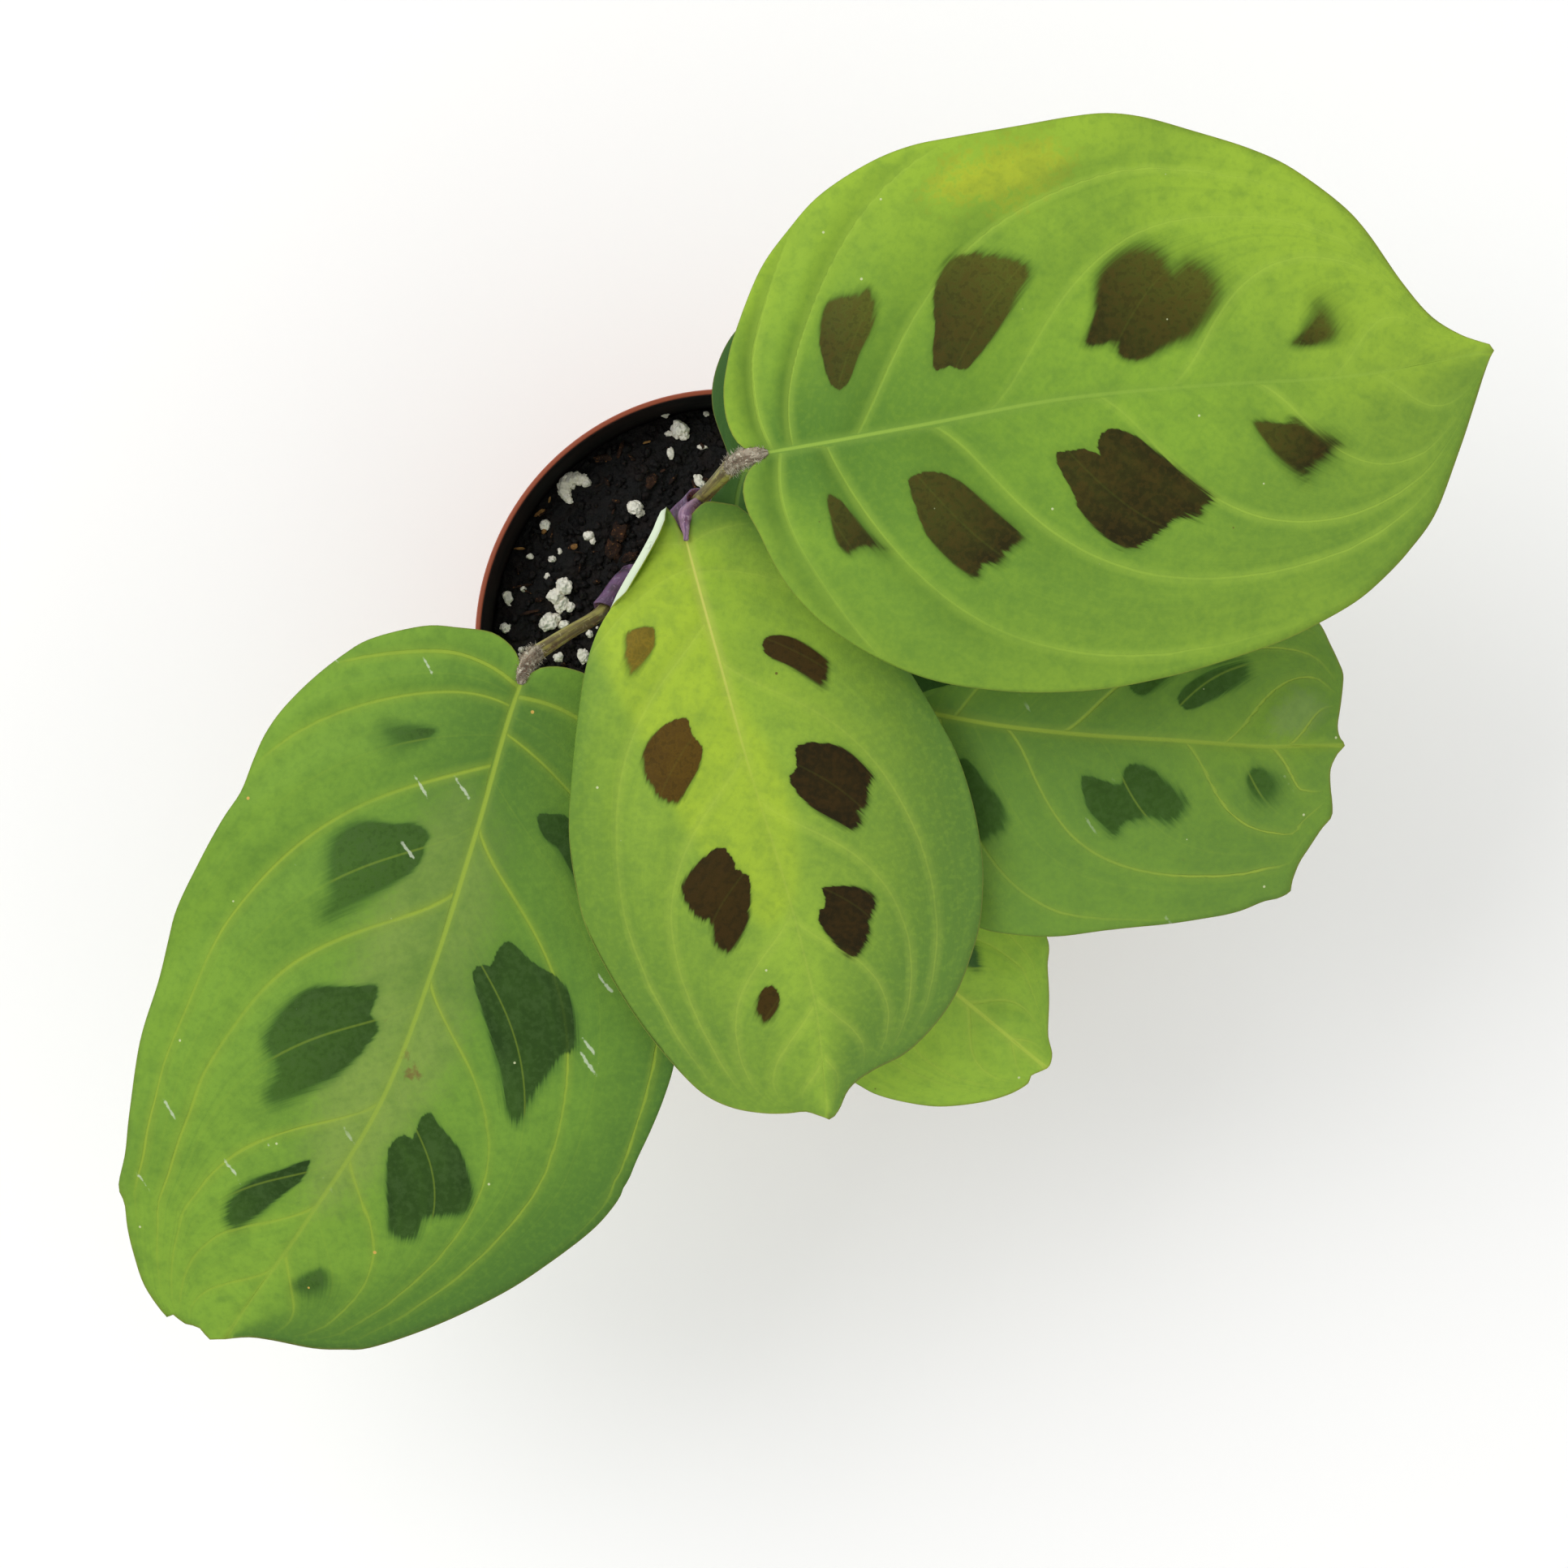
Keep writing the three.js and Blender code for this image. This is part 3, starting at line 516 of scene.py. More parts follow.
petioles = {
    "petiole_upper_right": ([(-6.4, 19.6, 92), (-3.5, 21.4, 98.5), (-1.2, 22.8, 108), (1.1, 24.3, 117.7)],
                            [1, 1.1, 1.15, 1.3]),
    "petiole_lower_left": ([(-17.9, 7.3, 81), (-20, 4, 84.2), (-24.8, 0.7, 89.6), (-29.3, -2.5, 93.9)],
                           [1, 1.1, 1.1, 1.25]),
    "petiole_right": ([(13.6, -12.6, 80.5), (16.6, -13, 86), (20.6, -12.8, 92), (24, -12.2, 95.3)],
                      [1, 1.1, 1.1, 1.2]),
    "petiole_bottom": ([(2.8, -13.5, 73), (1.5, -16.5, 77), (-0.4, -20, 80.4), (-1.4, -22.7, 82.3)],
                       [1, 1.05, 1.05, 1.1]),
    "petiole_under": ([(-2.6, 17.6, 75.5), (-1.2, 19.8, 80), (0, 22.2, 84.6), (0.45, 24.1, 87.8)],
                      [1, 1.05, 1.05, 1.1]),
}

# Each pulvinus runs from its petiole through a bend to just under the blade's base
pulvini = {
    "upper_right": ((1.0, 24.25, 117.4), (3, 25.4, 120.9), [1.15, 1.3, 1.35, 0.8, 0.35]),
    "lower_left": ((-29.2, -2.4, 93.8), (-31, -4.4, 96), [1.2, 1.4, 1.25, 0.8, 0.4]),
    "right": ((23.8, -12.2, 95.2), (25.8, -11.9, 97), [1.25, 1.45, 1.35, 0.85, 0.6]),
    "bottom": ((-1.35, -22.6, 82.2), (-2.1, -24.5, 83.9), [1.15, 1.3, 1, 0.7, 0.55]),
    "under": ((0.45, 24.1, 87.7), (0.4, 25.3, 89.1), [1.15, 1.3, 1, 0.7, 0.55]),
    "centre": ((-4.1, 20.6, 96.6), (-6.0, 18.0, 105.4), [1.0, 1.1, 1.15, 0.8, 0.46, 0.42, 0.4]),
}

stemParts = {
    "sides": 28,
    "ribs": 7,
    "ribDepth": 0.022,
    "sheathNodes": (0.3, 0.62),
    "nodeSwell": 0.13,
    "nodeWidth": 0.022,
    "mouthFrom": 0.86,
    "mouthFlare": 0.12,
    "mouthIn": (0.12, 0.3, 0.5),  # how far the mouth's edge turns in, in three steps
    "mouthBack": (0.1, 0.1, -1.6),  # and how far along the stem each of them lies
    "lipHeight": 0.9,
    "streakScale": (9.0, 1.6, 1.0),  # 9 streaks round the stem
    "ribScale": (40.0, 2.0, 1.0),  # 40 fine ribs round it
    "fleckScale": 1500.0,  # corky flecks of 0.7 mm
    "blotchScale": 330.0,  # blotches of 3 mm
    # The four colours of each skin, and its roughness
    "olivePetioleSkin": (("#948F46", "#5A532A", "#4A3E28", "#A0986A"), 0.5),
    "purpleSheathSkin": (("#4A3050", "#64486A", "#3A2C36", "#8A788E"), 0.5),
    "hairyPulvinusSkin": (("#6E6250", "#A89C88", "#4C4032", "#D2CAB6"), 0.85),
    "purplePulvinusSkin": (("#6E4E70", "#9A7890", "#57384E", "#B79CB0"), 0.55),
}

hairParts = {
    "perPulvinus": 760,
    "length": 0.8,
    "radius": 0.036,
    "covered": 0.8,
    "seed": 5,
    "root": "#867862",
    "pale": "#E4DDC8",
    "toneScale": 900.0,  # the tone changes every 1.1 mm
}


def stemSurface(name, hairy=False):
    # Fleshy stem skin: long streaks of its colours, a few corky flecks, fine ribs lengthwise
    s = stemParts
    colours, rough = s[name]
    material, add = newMaterial(name)
    place = add("TexCoord", out="Object")
    uv = add("TexCoord", out="UV")
    streakPlace = add("Mapping", {"Vector": uv, "Scale": s["streakScale"]})
    streak = add("TexNoise", {"Vector": streakPlace, "Scale": 1.0, "Detail": 4.0})
    ribPlace = add("Mapping", {"Vector": uv, "Scale": s["ribScale"]})
    rib = add("TexNoise", {"Vector": ribPlace, "Scale": 1.0, "Detail": 2.0})
    fleck = add("TexNoise", {"Vector": place, "Scale": s["fleckScale"], "Detail": 4.0})
    blotch = add("TexNoise", {"Vector": place, "Scale": s["blotchScale"], "Detail": 3.0})
    colour = layColours(add, toLinear(colours[0]), [
        (streak, 0.42, 0.55, 1.0, colours[1]),
        (blotch, 0.5, 0.72, 0.9, colours[2]),
        (fleck, 0.56, 0.68, 0.85 if hairy else 0.6, colours[3]),
    ])
    bumps = [(rib, 0.12), (fleck, 0.6 if hairy else 0.08)]
    finishSurface(add, colour, rough, bumps, Subsurface_Weight=0.05)
    return material


def hairSurface():
    # Short pale plant hairs, dull and felted
    h = hairParts
    material, add = newMaterial("paleHair")
    tone = add("TexNoise", {"Vector": add("TexCoord", out="Object"), "Scale": h["toneScale"], "Detail": 2.0})
    finishSurface(add, layColours(add, toLinear(h["root"]), [(tone, 0.38, 0.6, 1.0, h["pale"])]), 0.8, [])
    return material


oliveSkin = stemSurface("olivePetioleSkin")
purpleSkin = stemSurface("purpleSheathSkin")
corkSkin = stemSurface("hairyPulvinusSkin", hairy=True)
pinkSkin = stemSurface("purplePulvinusSkin")
hairSkin = hairSurface()


def stemFrames(line):
    # A tangent and two crosswise directions at each point, without twist
    tangents = np.gradient(line, axis=0)
    tangents /= np.linalg.norm(tangents, axis=1)[:, None]
    side = np.cross(tangents[0], (0.0, 0.0, 1.0))
    if np.linalg.norm(side) < 0.1:
        side = np.cross(tangents[0], (1.0, 0.0, 0.0))
    frames = []
    for tangent in tangents:
        side = side - tangent * side.dot(tangent)
        side /= np.linalg.norm(side)
        frames.append((tangent, side, np.cross(tangent, side)))
    return frames


def stemMesh():
    bm = bmesh.new()
    bm.loops.layers.uv.new("UVMap")
    return bm


def addStem(bm, points, radii, sides=stemParts["sides"], steps=40, sheath=False, rough=0.0):
    # A grid wrapped round the line; its U runs round the stem and V along it. A sheath swells at its
    # nodes and ends in a mouth, whose edge turns in and back and stands higher on one side.
    s = stemParts
    shares = np.linspace(0, 1, steps + 1)
    line = smoothThrough(points, shares)
    radius = smoothThrough(radii, shares)
    frames = stemFrames(line)
    if sheath:
        for place in s["sheathNodes"]:
            radius = radius * (1 + s["nodeSwell"] * np.exp(-((shares - place) / s["nodeWidth"]) ** 2))
        line = np.vstack([line, line[-1] + np.array(s["mouthBack"])[:, None] * frames[-1][0]])
        lipRadius = radius[-1] * (1 + s["mouthFlare"])
        radius = radius * (1 + s["mouthFlare"] * easeStep(shares, s["mouthFrom"], 1))
        radius = np.concatenate([radius, lipRadius - np.array(s["mouthIn"])])
        frames = frames + [frames[-1]] * 3
        shares = np.concatenate([shares, [1, 1, 1]])
    last = len(line) - 1
    made = bmesh.ops.create_grid(bm, x_segments=sides, y_segments=last, size=0.5, calc_uvs=True)["verts"]
    for vert in made:
        row = int(round((vert.co.y + 0.5) * last))
        angle = -(vert.co.x + 0.5) * fullTurn
        tangent, side, across = frames[row]
        out = side * math.cos(angle) + across * math.sin(angle)
        size = radius[row] * (1 + s["ribDepth"] * math.cos(s["ribs"] * angle))
        if rough:
            size *= 1 + rough * noise.noise(Vector((3 * math.cos(angle), 3 * math.sin(angle), row * 0.5)))
        spot = line[row] + size * out
        if sheath:
            lip = (0.5 + 0.5 * math.cos(angle)) ** 2 * easeStep(shares[row], 0.82, 1)
            spot = spot + tangent * s["lipHeight"] * lip
        vert.co = Vector(spot) * mm
    bmesh.ops.remove_doubles(bm, verts=made, dist=mergeDistance)
    bmesh.ops.holes_fill(bm, edges=[edge for edge in bm.edges if edge.is_boundary], sides=0)
    return line, radius, frames


def addHairs(name, line, radius, frames):
    # Hairs grow thickest and longest by the petiole, and lean towards the blade
    h = hairParts
    rng = random.Random(h["seed"] + len(name))
    bm = bmesh.new()
    last = len(line) - 1
    for i in range(h["perPulvinus"]):
        row = min(int(rng.random() ** 0.9 * last * h["covered"]), last)
        angle = rng.random() * fullTurn
        tangent, side, across = frames[row]
        out = side * math.cos(angle) + across * math.sin(angle)
        root = Vector(line[row] + out * radius[row] * 0.97)
        lean = Vector(out) + Vector(tangent) * (0.9 * rng.random() - 0.15)
        lean += Vector((rng.random() - 0.5, rng.random() - 0.5, rng.random() - 0.5)) * 0.5
        lean.normalize()
        length = h["length"] * (0.5 + 0.7 * rng.random()) * (1.15 - 0.85 * row / last)
        turn = lean.to_track_quat("Z", "Y").to_matrix().to_4x4()
        spot = Matrix.Translation((root + lean * length / 2) * mm)
        bmesh.ops.create_cone(bm, cap_ends=True, segments=3, radius1=h["radius"] * mm,
                              radius2=0.2 * h["radius"] * mm, depth=length * mm, matrix=spot @ turn)
    makePiece(name, bm, [hairSkin])


def makeStems():
    for name, (foot, *arms) in shootArms.items():
        bm = stemMesh()
        addStem(bm, *foot)
        for points, radii in arms:
            addStem(bm, points, radii, steps=72, sheath=True)
        makePiece(name + "Sheaths", bm, [purpleSkin], [name])
    for name, (points, radii) in petioles.items():
        bm = stemMesh()
        addStem(bm, points, radii, steps=60)
        makePiece(name + "Stem", bm, [oliveSkin], [name])
    for name, (start, bend, radii) in pulvini.items():
        smooth = name == "centre"
        leaf = leaves[name]
        heading = math.radians(leaf["heading"])
        lift = 1.0 if smooth else -0.1
        end = Vector(leaf["base"]) + Vector((0.2 * math.cos(heading), 0.2 * math.sin(heading), lift))
        near = Vector(bend)
        points = [start, tuple(near), tuple(end.lerp(near, 0.25)), tuple(end)]
        bm = stemMesh()
        line, radius, frames = addStem(bm, points, radii, steps=48, rough=0.03 if smooth else 0.12)
        skin, slot = (pinkSkin, "pulvinus_purple") if smooth else (corkSkin, "pulvinus_tissue")
        makePiece("pulvinus_" + name + "Joint", bm, [skin], ["pulvinus_" + name])
        if not smooth:
            addHairs("pulvinus_" + name + "Hairs", line, radius, frames)


# Leaves. Each lies in its own plan, in millimetres: along runs from the blade's base to its tip
# and out away from the midrib, left being positive. The margins follow the photograph's edges. A
# spot is its tone from dark to light, its softness and its outline. Veins are the shares of the
# midrib at which they leave it. A blotch is its place and radius, the common one lying off the blade.
commonLeaf = {
    "leftVeins": [0.02, 0.1, 0.3, 0.55, 0.78, 0.92], "rightVeins": [0.02, 0.1, 0.3, 0.55, 0.78, 0.92],
    "curl": 0.0, "blotches": [(-50, 0, 0)],
}
# A look is a leaf's colours and how far its markings show: the halo round its spots and the teeth
# at their outer ends, the ridge along a main vein and the painted shade in the trough before it,
# the rib and the painted shade beside it, the faint veins in between, the painted shade on a
# margin that turns down, and the lighter patch, painted light on the centre leaf and painted sheen on the
# lower left one
commonLook = {
    "haloReach": -1.6, "halo": "#3F6426", "ribWidth": 0.5, "ribReach": 1.0, "ribShade": 0.15,
    "ridgeShow": 0.2, "trough": 0.16, "teeth": 2.4, "spotFade": 0.2, "spotCentre": 0.1, "spotLean": 0.0,
    "turnedDown": 0.0, "patchSoft": 3.0, "patchMottle": 2.0, "scratches": 0.0,
    "patchOutline": [(42, -4), (54, -4), (60, 0), (54, 4), (42, 4)],
}
leaves = {
    "upper_right": {**commonLeaf,
        "base": (6.5, 26.1, 122.0), "heading": 8.2, "length": 109.7, "wave": 0.7, "seed": 1.0,
        "left": [
            (-0.6, 0.5), (-2.5, 0.7), (-4.2, 2.2), (-5.2, 5.5), (-5.1, 9.5), (-4.2, 13), (-2.3, 17.8),
            (2.8, 26.7), (8.2, 32.3), (13.2, 36.2), (20.5, 39.5), (27, 41.1), (34, 41.5), (44, 41.8),
            (52, 42.2), (57.5, 41.9), (63, 40.5), (70, 37.6), (77.4, 34.2), (83, 30.8), (89.4, 24.9),
            (93, 20), (97.3, 11.8), (100.8, 6.4), (104.8, 3.1), (107.5, 1.7), (109.2, 1),
        ],
        "right": [
            (-0.4, 0.7), (-2.1, 1.5), (-3.5, 3), (-4.3, 5.2), (-4, 8.4), (-2.9, 11.3), (-1.3, 16.2),
            (0.8, 20.7), (4.7, 26), (10.3, 31), (15.9, 34.8), (20.5, 37.1), (26, 38.9), (34, 40.7),
            (44.4, 41.7), (54, 41.3), (62.5, 40.2), (71.4, 38.5), (77.5, 36.6), (83.5, 34.2), (88, 31.4),
            (92.5, 27.8), (97.3, 22.8), (102.2, 14.2), (105.6, 7.5), (107.5, 3.6), (108.8, 1.2),
        ],
        "bow": [0, 0.5, 1.3, 0.3, -1.2, 0], "rise": [0, 2.2, 3, 2.2, 0, -5],
        "leftDrop": [0, 1, 1.5, 0, -2.5, 0], "rightDrop": [0, -3, -4.5, -3.5, -2, 0],
        "leftVeins": [0.01, 0.037, 0.141, 0.333, 0.58, 0.8],
        "rightVeins": [0.02, 0.087, 0.252, 0.48, 0.7, 0.86],
        "spots": [
            (0.75, 0.35, [(12.5, 20.5), (16, 21), (18, 21.5), (19, 19.5), (18, 15.5), (15.5, 12),
                (13.5, 8.5), (11.5, 7.5), (10.5, 9.5), (10, 14.5), (11, 18.5)]),
            (0.55, 0.35, [(28.5, 21.5), (31.5, 24.5), (37, 23.8), (40.5, 22.3), (42, 20.5), (40, 17.5),
                (36.5, 13), (33, 9.5), (30.5, 7.5), (28.5, 8.5), (26.5, 8), (26, 9.5), (27, 14),
                (27.5, 18.5)]),
            (0.45, 1.1, [(49, 10), (50.5, 13), (52, 18.5), (55.5, 21.5), (59, 22), (61.8, 20.6),
                (63.2, 17.6), (65.2, 19), (68, 17.5), (69.5, 14.5), (68, 11), (64.5, 8), (61, 7),
                (57.5, 5.5), (54.5, 5.5), (53, 7), (53.5, 8.8), (51.5, 8.3), (48.5, 8.5)]),
            (0.75, 1.2, [(79, 4.5), (80.5, 6), (82.5, 8), (84, 10), (85.5, 7.5), (85.5, 5), (82.5, 4)]),
            (0.35, 0.45, [(8, -7.5), (10, -9), (12, -12), (14, -15), (15.5, -17), (13, -16), (10, -16.5),
                (8.5, -15), (8, -11.5)]),
            (0.3, 0.35, [(20, -7.5), (21.5, -6.5), (24, -6.5), (27, -8), (29.5, -10.5), (32, -13.5),
                (34.5, -16), (35.5, -18.5), (33, -19.5), (32, -21.5), (29.5, -21), (28, -23), (26, -21.5),
                (23.5, -18.5), (21.5, -15.5), (20.5, -11.5)]),
            (0.05, 0.25, [(42, -6.5), (44.5, -6.5), (47, -6.5), (48.5, -8), (48.5, -5.5), (49.5, -4.3),
                (51, -4), (54, -5.5), (57, -8.5), (60.5, -12), (63, -14.5), (64.5, -16.5), (62.5, -17.5),
                (62, -19), (59, -18), (56, -20), (54, -21), (52, -22), (49.5, -21.5), (46.5, -18.5),
                (44.5, -15.5), (43.5, -12), (42.5, -9.5)]),
            (0.35, 0.8, [(71.5, -6), (73.5, -6), (76, -7), (77.5, -6), (80, -8), (84, -10.5), (82.5, -12.5),
                (79.5, -14), (78, -15.5), (76, -13.5), (74, -11)]),
        ],
        "look": {**commonLook,
            "base": "#527A2A", "green": "#80A635", "tip": "#90AE38", "edge": "#9EC038",
            "leftSide": "#94B438", "rightSide": "#648634", "shade": "#587E31", "vein": "#A4C248",
            "midrib": "#92B246", "halo": "#46661F", "spotDark": "#1F1604", "spotLight": "#52561A",
            "spotFleck": "#4C3A12", "patch": "#C4C02E", "patchShow": 0.48, "ribWidth": 0.4,
            "faintShow": 0.025, "veinWidth": 0.3, "veinShow": 0.27, "patchSoft": 2.2, "patchMottle": 10.0,
            "ribReach": 0.55, "ribEnd": 0.26, "teeth": 2.2, "spotFade": 0.12, "ridgeShow": 0.25,
            "ribShade": 0.3, "trough": 0.5, "spotCentre": 0.12, "spotLean": 1.1,
            "patchOutline": [(30, 34), (34, 37.5), (40, 39), (48, 38.5), (50, 35), (45, 31.5), (38, 31)],
        },
    },
    "centre": {**commonLeaf,
        "base": (-5.9, 14.3, 106.0), "heading": -76.2, "length": 92.1, "wave": 0.6, "seed": 2.0,
        "left": [
            (-1.8, 0.6), (-3.6, 2), (-4.8, 4.3), (-4.1, 6.6), (-3.1, 8.8), (-1.9, 9.8), (4, 14.8),
            (14, 21.3), (22.3, 25.7), (27.3, 28), (31.5, 29.4), (36, 30.8), (41.4, 32.2), (47.2, 32.8),
            (53.2, 32.8), (60, 32), (67.2, 29.9), (72.6, 27), (77.6, 23.5), (81.7, 19), (84.7, 14),
            (85.9, 9.3), (87, 6), (88.4, 3.8), (90.5, 2.2), (91.8, 0.9),
        ],
        "right": [
            (-1.4, 0.5), (-2.8, 0.8), (-5.3, 1.7), (-4.2, 3.1), (-2.2, 4.6), (1, 7.5), (4.8, 11.2),
            (8.2, 14), (11.6, 17.2), (17, 20.3), (25.4, 23.6), (32, 25.9), (40, 28.2), (48.9, 29.1),
            (55, 28.9), (64.5, 26.6), (72.3, 23.8), (80, 20.1), (84, 17.4), (86.8, 13.9), (88.7, 9.6),
            (89.6, 6), (90, 3.3), (91.2, 1.3),
        ],
        "bow": [0, 0.5, 1.1, 2.2, 2.2, 0], "rise": [0, 1.6, 2, 0.5, -4, -12],
        "leftDrop": [0, -2.5, -3, -2.5, -1.5, 0], "rightDrop": [0, -1, -3, -3.5, -2, 0],
        "leftVeins": [0.01, 0.06, 0.24, 0.48, 0.69, 0.82, 0.92],
        "rightVeins": [0.01, 0.05, 0.16, 0.39, 0.67, 0.83, 0.93], "curl": 1.0,
        "spots": [
            (1.0, 0.35, [(12.5, -12.5), (11.5, -11.5), (12, -8), (14.5, -8.5), (16.5, -10.5), (18, -13),
                (15, -13)]),
            (0.42, 0.25, [(32, -14.5), (29.5, -13.5), (27, -10.5), (26.5, -6.5), (29.5, -6), (31.5, -5),
                (34.5, -6.5), (37, -9), (38.5, -10.5), (37.5, -13), (35, -14), (33.5, -14.5)]),
            (0.12, 0.25, [(51.5, -13.5), (49, -11), (47, -7.5), (47, -5.5), (49.5, -4.5), (51, -4.5),
                (51.5, -3), (53.5, -3), (57, -4), (60.5, -6), (62.5, -8.5), (61, -10.5), (57.5, -10),
                (56.5, -12), (54, -13)]),
            (0.2, 0.3, [(71.5, -6.5), (69.5, -5), (69.5, -3), (72, -3), (74, -4.5), (74.5, -6),
                (73, -6.7)]),
            (0.15, 0.25, [(18.5, 7.5), (17.5, 8.5), (18, 11.5), (20, 14), (22.5, 16), (23.5, 16.5),
                (26, 15.5), (27, 15), (25, 13), (22.5, 10.5), (20.5, 8)]),
            (0.05, 0.25, [(35, 8.5), (34.5, 10), (35, 12.5), (36.5, 15.5), (39, 17.5), (42, 19), (43, 18),
                (46, 17), (46.5, 15.5), (48, 16), (49, 14), (47.5, 12), (44.5, 9), (41, 7), (39, 6.5),
                (38, 8)]),
            (0.05, 0.25, [(56.5, 7.5), (56.5, 8.5), (57.5, 12.5), (60, 15), (63, 13.5), (66.5, 12),
                (68, 9.5), (66.5, 8), (62.5, 6), (60, 6), (59, 7.5)]),
        ],
        "look": {**commonLook,
            "base": "#93B335", "green": "#8EAD3B", "tip": "#9ABC3E", "edge": "#5B7F2D",
            "leftSide": "#4C6E2F", "rightSide": "#6A8C35", "shade": "#5B7F35", "vein": "#B4C850",
            "midrib": "#C6C862", "halo": "#3E5A1C", "spotDark": "#130D03", "spotLight": "#7C5C16",
            "spotFleck": "#3E2A0C", "patch": "#A2BC35", "haloReach": -0.8, "patchShow": 0.85,
            "ribWidth": 0.3, "faintShow": 0.02, "veinWidth": 0.28, "veinShow": 0.14, "patchSoft": 1.6,
            "patchMottle": 0.8, "ribReach": 0.42, "ribEnd": 0.08, "teeth": 1.7, "spotFade": 0.0,
            "ridgeShow": 0.15, "ribShade": 0.08, "trough": 0.14, "spotCentre": 0.03, "turnedDown": 0.45,
            # painted light: the bright wedge where light falls on the blade
            "patchOutline": [
                (-4, -3.5), (2, -0.6), (10, 0.8), (25, 2), (40, 6), (55, 4), (60, -2), (52, -7),
                (41, -10.9), (31, -13), (21, -15.3), (12, -17), (5, -14), (-2, -8),
            ],
        },
    },
    "lower_left": {**commonLeaf,
        "base": (-31.7, -7.4, 97.0), "heading": -114.9, "length": 114.7, "wave": 0.8, "seed": 3.0,
        "left": [
            (-0.8, 0.5), (-1.8, 0.8), (-3.4, 1.8), (-4.7, 4), (-5.4, 6.8), (-5.4, 9.8), (-4, 16.6),
            (1.1, 23.8), (10, 31.7), (20.8, 38.2), (32.4, 43.1), (43.2, 46.2), (49.1, 47.1), (55, 47.4),
            (60.1, 47.4), (63.9, 47.5), (64.6, 46.9), (65.4, 47.4), (68.5, 47.1), (73.6, 45.5),
            (81.2, 41.6), (88.6, 37), (98.2, 29.3), (105.7, 21.8), (108.1, 17.7), (110, 13.3), (111.6, 6.9),
            (112.8, 3.2),
        ],
        "right": [
            (-0.9, 0.5), (-2.7, 1.4), (-4.2, 3), (-5, 5), (-5.2, 7.8), (-3.8, 12.3), (-1.7, 17.4),
            (3.5, 24), (7.7, 27), (12.9, 29.6), (19, 31.8), (23.8, 32.7), (28.2, 32.7), (33.6, 32.4),
            (38.5, 33.2), (46, 33.9), (54.2, 34.2), (59.5, 33.5), (66.5, 32.3), (76.7, 31.1), (87.7, 28.1),
            (93.7, 26.2), (99, 25.2), (101.2, 23.3), (104.7, 21.4), (108.2, 18.9), (112.4, 15.2),
            (115.4, 10.2), (114.7, 9.2), (115.2, 7), (114.8, 4.6), (115.8, 2.4), (115.3, 1.2),
        ],
        "bow": [0, 3.4, 6.2, 7.4, 4.2, 0], "rise": [0, 0.5, -1.5, -4.5, -9.5, -17],
        "leftDrop": [0, -3, -3.5, -3, -2, 0], "rightDrop": [0, -1.5, -2, -2.5, -1.5, 0],
        "leftVeins": [0.02, 0.075, 0.23, 0.446, 0.72, 0.88],
        "rightVeins": [0.008, 0.034, 0.13, 0.32, 0.63, 0.8, 0.91],
        "blotches": [(62, 10, 1.8), (59.5, 8.0, 1.3), (56, 2.6, 1.1), (65.5, 11, 1.0)],
        "spots": [
            (0.6, 0.9, [(15, -15.5), (13, -12), (12, -9), (14, -9.5), (16.5, -13.5)]),
            (0.6, 0.7, [(35.5, -16), (32.5, -15.5), (29.5, -13), (28, -8.5), (26.5, -5.5), (27, -3),
                (28.5, -3), (30.5, -2.5), (33.5, -3), (38, -6), (42, -9), (45.5, -12), (44.5, -13),
                (42, -12.5), (39.5, -14.5)]),
            (0.35, 0.6, [(67.5, -13), (63.5, -13), (59, -11.5), (56, -9), (54, -4.5), (52, -1), (53, 0),
                (55.5, 0.2), (57, 0.5), (57.5, 2.5), (60.5, 2), (65.5, 0.5), (70, -2.5), (75.5, -7),
                (75, -9.5), (71.5, -9), (69.5, -10.5)]),
            (0.15, 0.45, [(95, -8), (92.5, -8), (88.5, -6), (85, -2.5), (81.5, 1), (85.5, 1), (89, -1),
                (93.5, -3), (97, -5.5), (96.5, -7)]),
            (0.7, 1.1, [(101.5, 6.5), (98.5, 8), (97, 9.5), (98, 11), (100, 11), (102, 9)]),
            (0.2, 0.3, [(17.5, 11), (16.5, 12.5), (16, 16), (22, 24), (25, 22), (21, 16), (20, 13)]),
            (0.05, 0.3, [(43.5, 12), (42, 13), (41.5, 14.5), (39.5, 14), (37, 15), (37.5, 17.5), (38.5, 20),
                (39, 24.5), (40.5, 27), (44.5, 30), (48, 31.5), (50, 30), (54.5, 29), (57, 28.5),
                (61, 28.5), (62.5, 27.5), (60.5, 25), (56, 22), (50.5, 17.5), (46, 13.5)]),
            (0.1, 0.35, [(76.5, 12), (73.5, 11.5), (71.5, 13), (71.5, 14.5), (68.5, 14), (66.5, 15),
                (68, 17.5), (70, 21.5), (73, 24.5), (76, 26.5), (79, 26.5), (80.5, 24), (82.5, 21),
                (86, 21), (87, 17.5), (85, 16), (81, 14)]),
        ],
        "look": {**commonLook,
            "base": "#587C2F", "green": "#6E9437", "tip": "#80A638", "edge": "#749A33",
            "leftSide": "#6B9234", "rightSide": "#7CA237", "shade": "#4C722E", "vein": "#98AE38",
            "midrib": "#95AC3C", "spotDark": "#223A13", "spotLight": "#486C26", "spotFleck": "#425C2E",
            "patch": "#82984A", "haloReach": -1.8, "patchShow": 0.7, "ribWidth": 0.54, "faintShow": 0.25,
            "veinWidth": 0.42, "veinShow": 0.52, "patchSoft": 4.0, "patchMottle": 5.0, "spotFade": 0.3,
            "ribReach": 0.95, "ribEnd": 0.3, "ribShade": 0.18, "spotCentre": 0.15, "spotLean": -0.5,
            "turnedDown": 0.95, "scratches": 1.0,
            # painted sheen: the greyish band along the midrib
            "patchOutline": [
                (18, -3), (30, -5), (45, -6), (60, -4), (75, -2), (85, 2), (88, 6), (80, 11), (65, 14),
                (50, 14), (35, 11), (22, 6),
            ],
        },
    },
    "right": {**commonLeaf,
